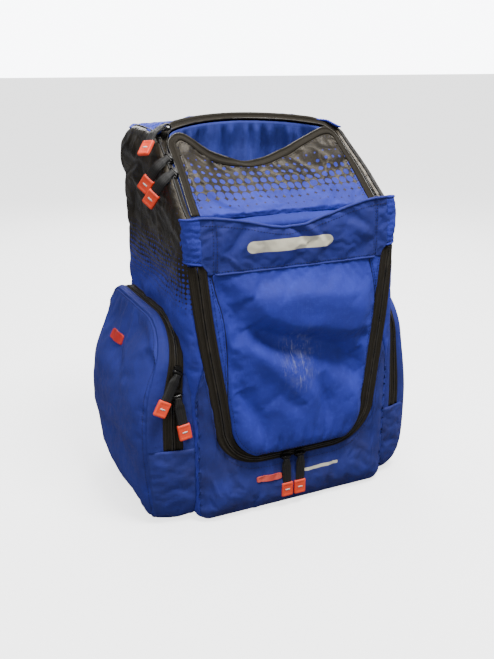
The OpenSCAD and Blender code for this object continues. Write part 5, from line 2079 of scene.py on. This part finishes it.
def build_handle():
    lo, hi = low("grab_handle"), high("grab_handle")
    y = (lo[1] + hi[1]) / 2
    top, bottom = hi[2] - 3, lo[2] + 7.5
    hw = 46.0
    left = [(-hw, top + 2), (-hw, top - 8), (-hw + 3, bottom + 8), (-hw + 16, bottom)]
    right = [(-x, z) for x, z in left[::-1]]
    pts = resample(soften(left + [(0, bottom - 2)] + right, 3), 2.0)
    path = np.stack([pts[:, 0], np.full(len(pts), y + 1.0), pts[:, 1]], -1)
    n = same((0.0, 1.0, 0.0), len(path))
    finish_piece(flat_web("grab_handle_webbing", path, n, 20, 2.2), "web", "grab_handle",
                 ["grab_handle"])
    grip = np.stack([np.linspace(-34, 34, 40), np.full(40, y + 1.0), np.full(40, bottom - 1.4)], -1)
    oval = circle(1.0, 20)
    section = np.stack([0 * oval[:, 0], oval[:, 0] * 0.85, oval[:, 1] * 1.2], -1)
    fat = 7.2 * (1 - 0.35 * np.abs(np.linspace(-1, 1, 40)) ** 4)
    pts = grip[:, None] + fat[:, None, None] * section[None]
    o = to_object("grab_handle_grip", pts.reshape(-1, 3), tube_faces(40, 20))
    fix_normals(o)
    finish_piece(o, "mesh", "grab_handle")


def dress_cad():
    """CAD pieces whose shape is right keep it, with softened edges and a proper material."""
    plan = {
        "base_board": "board", "frame_sheet": "board", "top_floor": "navy", "disc_dividers": "navy",
        "strap_left_adjuster": "plastic", "strap_right_adjuster": "plastic",
        "sternum_buckle_male": "plastic", "sternum_buckle_female": "plastic",
    }
    for node, mat in plan.items():
        o = frame["nodes"][node]
        o.data.materials.clear()
        o.data.materials.append(MATS[mat])
        if mat == "plastic":
            weld = o.modifiers.new("weld", "WELD")
            weld.merge_threshold = 1e-6
            bev = o.modifiers.new("edges", "BEVEL")
            bev.width = 0.0008
            bev.segments = 3
            bev.limit_method = "ANGLE"


# ------------------------------------------------------------------ studio


def studio():
    scene = bpy.context.scene
    bpy.ops.mesh.primitive_plane_add(size=60, location=(0, 0, -0.0005))
    floor = bpy.context.object
    floor.name = "studio_floor"
    m = Paint("studio_floor_paint")
    seen = add(m.t, "ShaderNodeLightPath").outputs["Is Camera Ray"]
    m.set(base_color=m.mix(seen, rgb(112, 112, 114), rgb(250, 250, 250)), roughness=0.9,
          emission_color=(1, 1, 1, 1), emission_strength=m.mul(seen, 2.2))
    floor.data.materials.append(m.mat)
    world = bpy.data.worlds.new("studio_world")
    scene.world = world
    world.use_nodes = True
    tree = world.node_tree
    seen = add(tree, "ShaderNodeLightPath").outputs["Is Camera Ray"]
    strength = add(tree, "ShaderNodeMapRange", {0: seen, 3: 0.31, 4: 9.0}).outputs[0]
    background = tree.nodes["Background"]
    background.inputs[0].default_value = (0.94, 0.96, 1.0, 1)
    tree.links.new(strength, background.inputs[1])

    def area(name, at, look, size, power, colour=(1, 1, 1)):
        data = bpy.data.lights.new(name, "AREA")
        data.size = size
        data.energy = power
        data.color = colour
        o = bpy.data.objects.new(name, data)
        scene.collection.objects.link(o)
        o.location = at
        o.rotation_euler = (Vector(look) - Vector(at)).to_track_quat("-Z", "Y").to_euler()

    area("key", (0.25, -0.7, 1.9), (0, 0, 0.3), 0.6, 50)
    area("top", (-0.25, 0.25, 1.9), (0, 0, 0.3), 1.0, 16)
    area("fill", (-1.5, -1.0, 1.1), (0, 0, 0.3), 0.7, 13)
    area("rear", (0.5, 1.6, 1.3), (0, 0, 0.25), 1.2, 26)
    area("side", (1.7, 0.2, 1.0), (0, 0, 0.25), 1.0, 8)
    cam = bpy.data.cameras.new("camera")
    obj = bpy.data.objects.new("camera", cam)
    scene.collection.objects.link(obj)
    az, el, dist = math.radians(-25), math.radians(19), 1.15
    target = Vector((-0.010, 0.0, 0.212))
    back = Vector((math.sin(az) * math.cos(el), -math.cos(az) * math.cos(el), math.sin(el)))
    obj.location = target + back * dist
    obj.rotation_euler = (-back).to_track_quat("-Z", "Y").to_euler()
    cam.sensor_fit = "AUTO"
    cam.sensor_width = 36
    cam.lens = 42.6
    scene.camera = obj


build_door()
door_zips()
build_apron()
build_side(-1)
build_side(1)
build_band()
build_lid()
build_top()
build_pocket(-1)
build_pocket(1)
build_sliders()
build_back()
build_base()
build_straps()
build_sternum()
build_handle()
dress_cad()
studio()
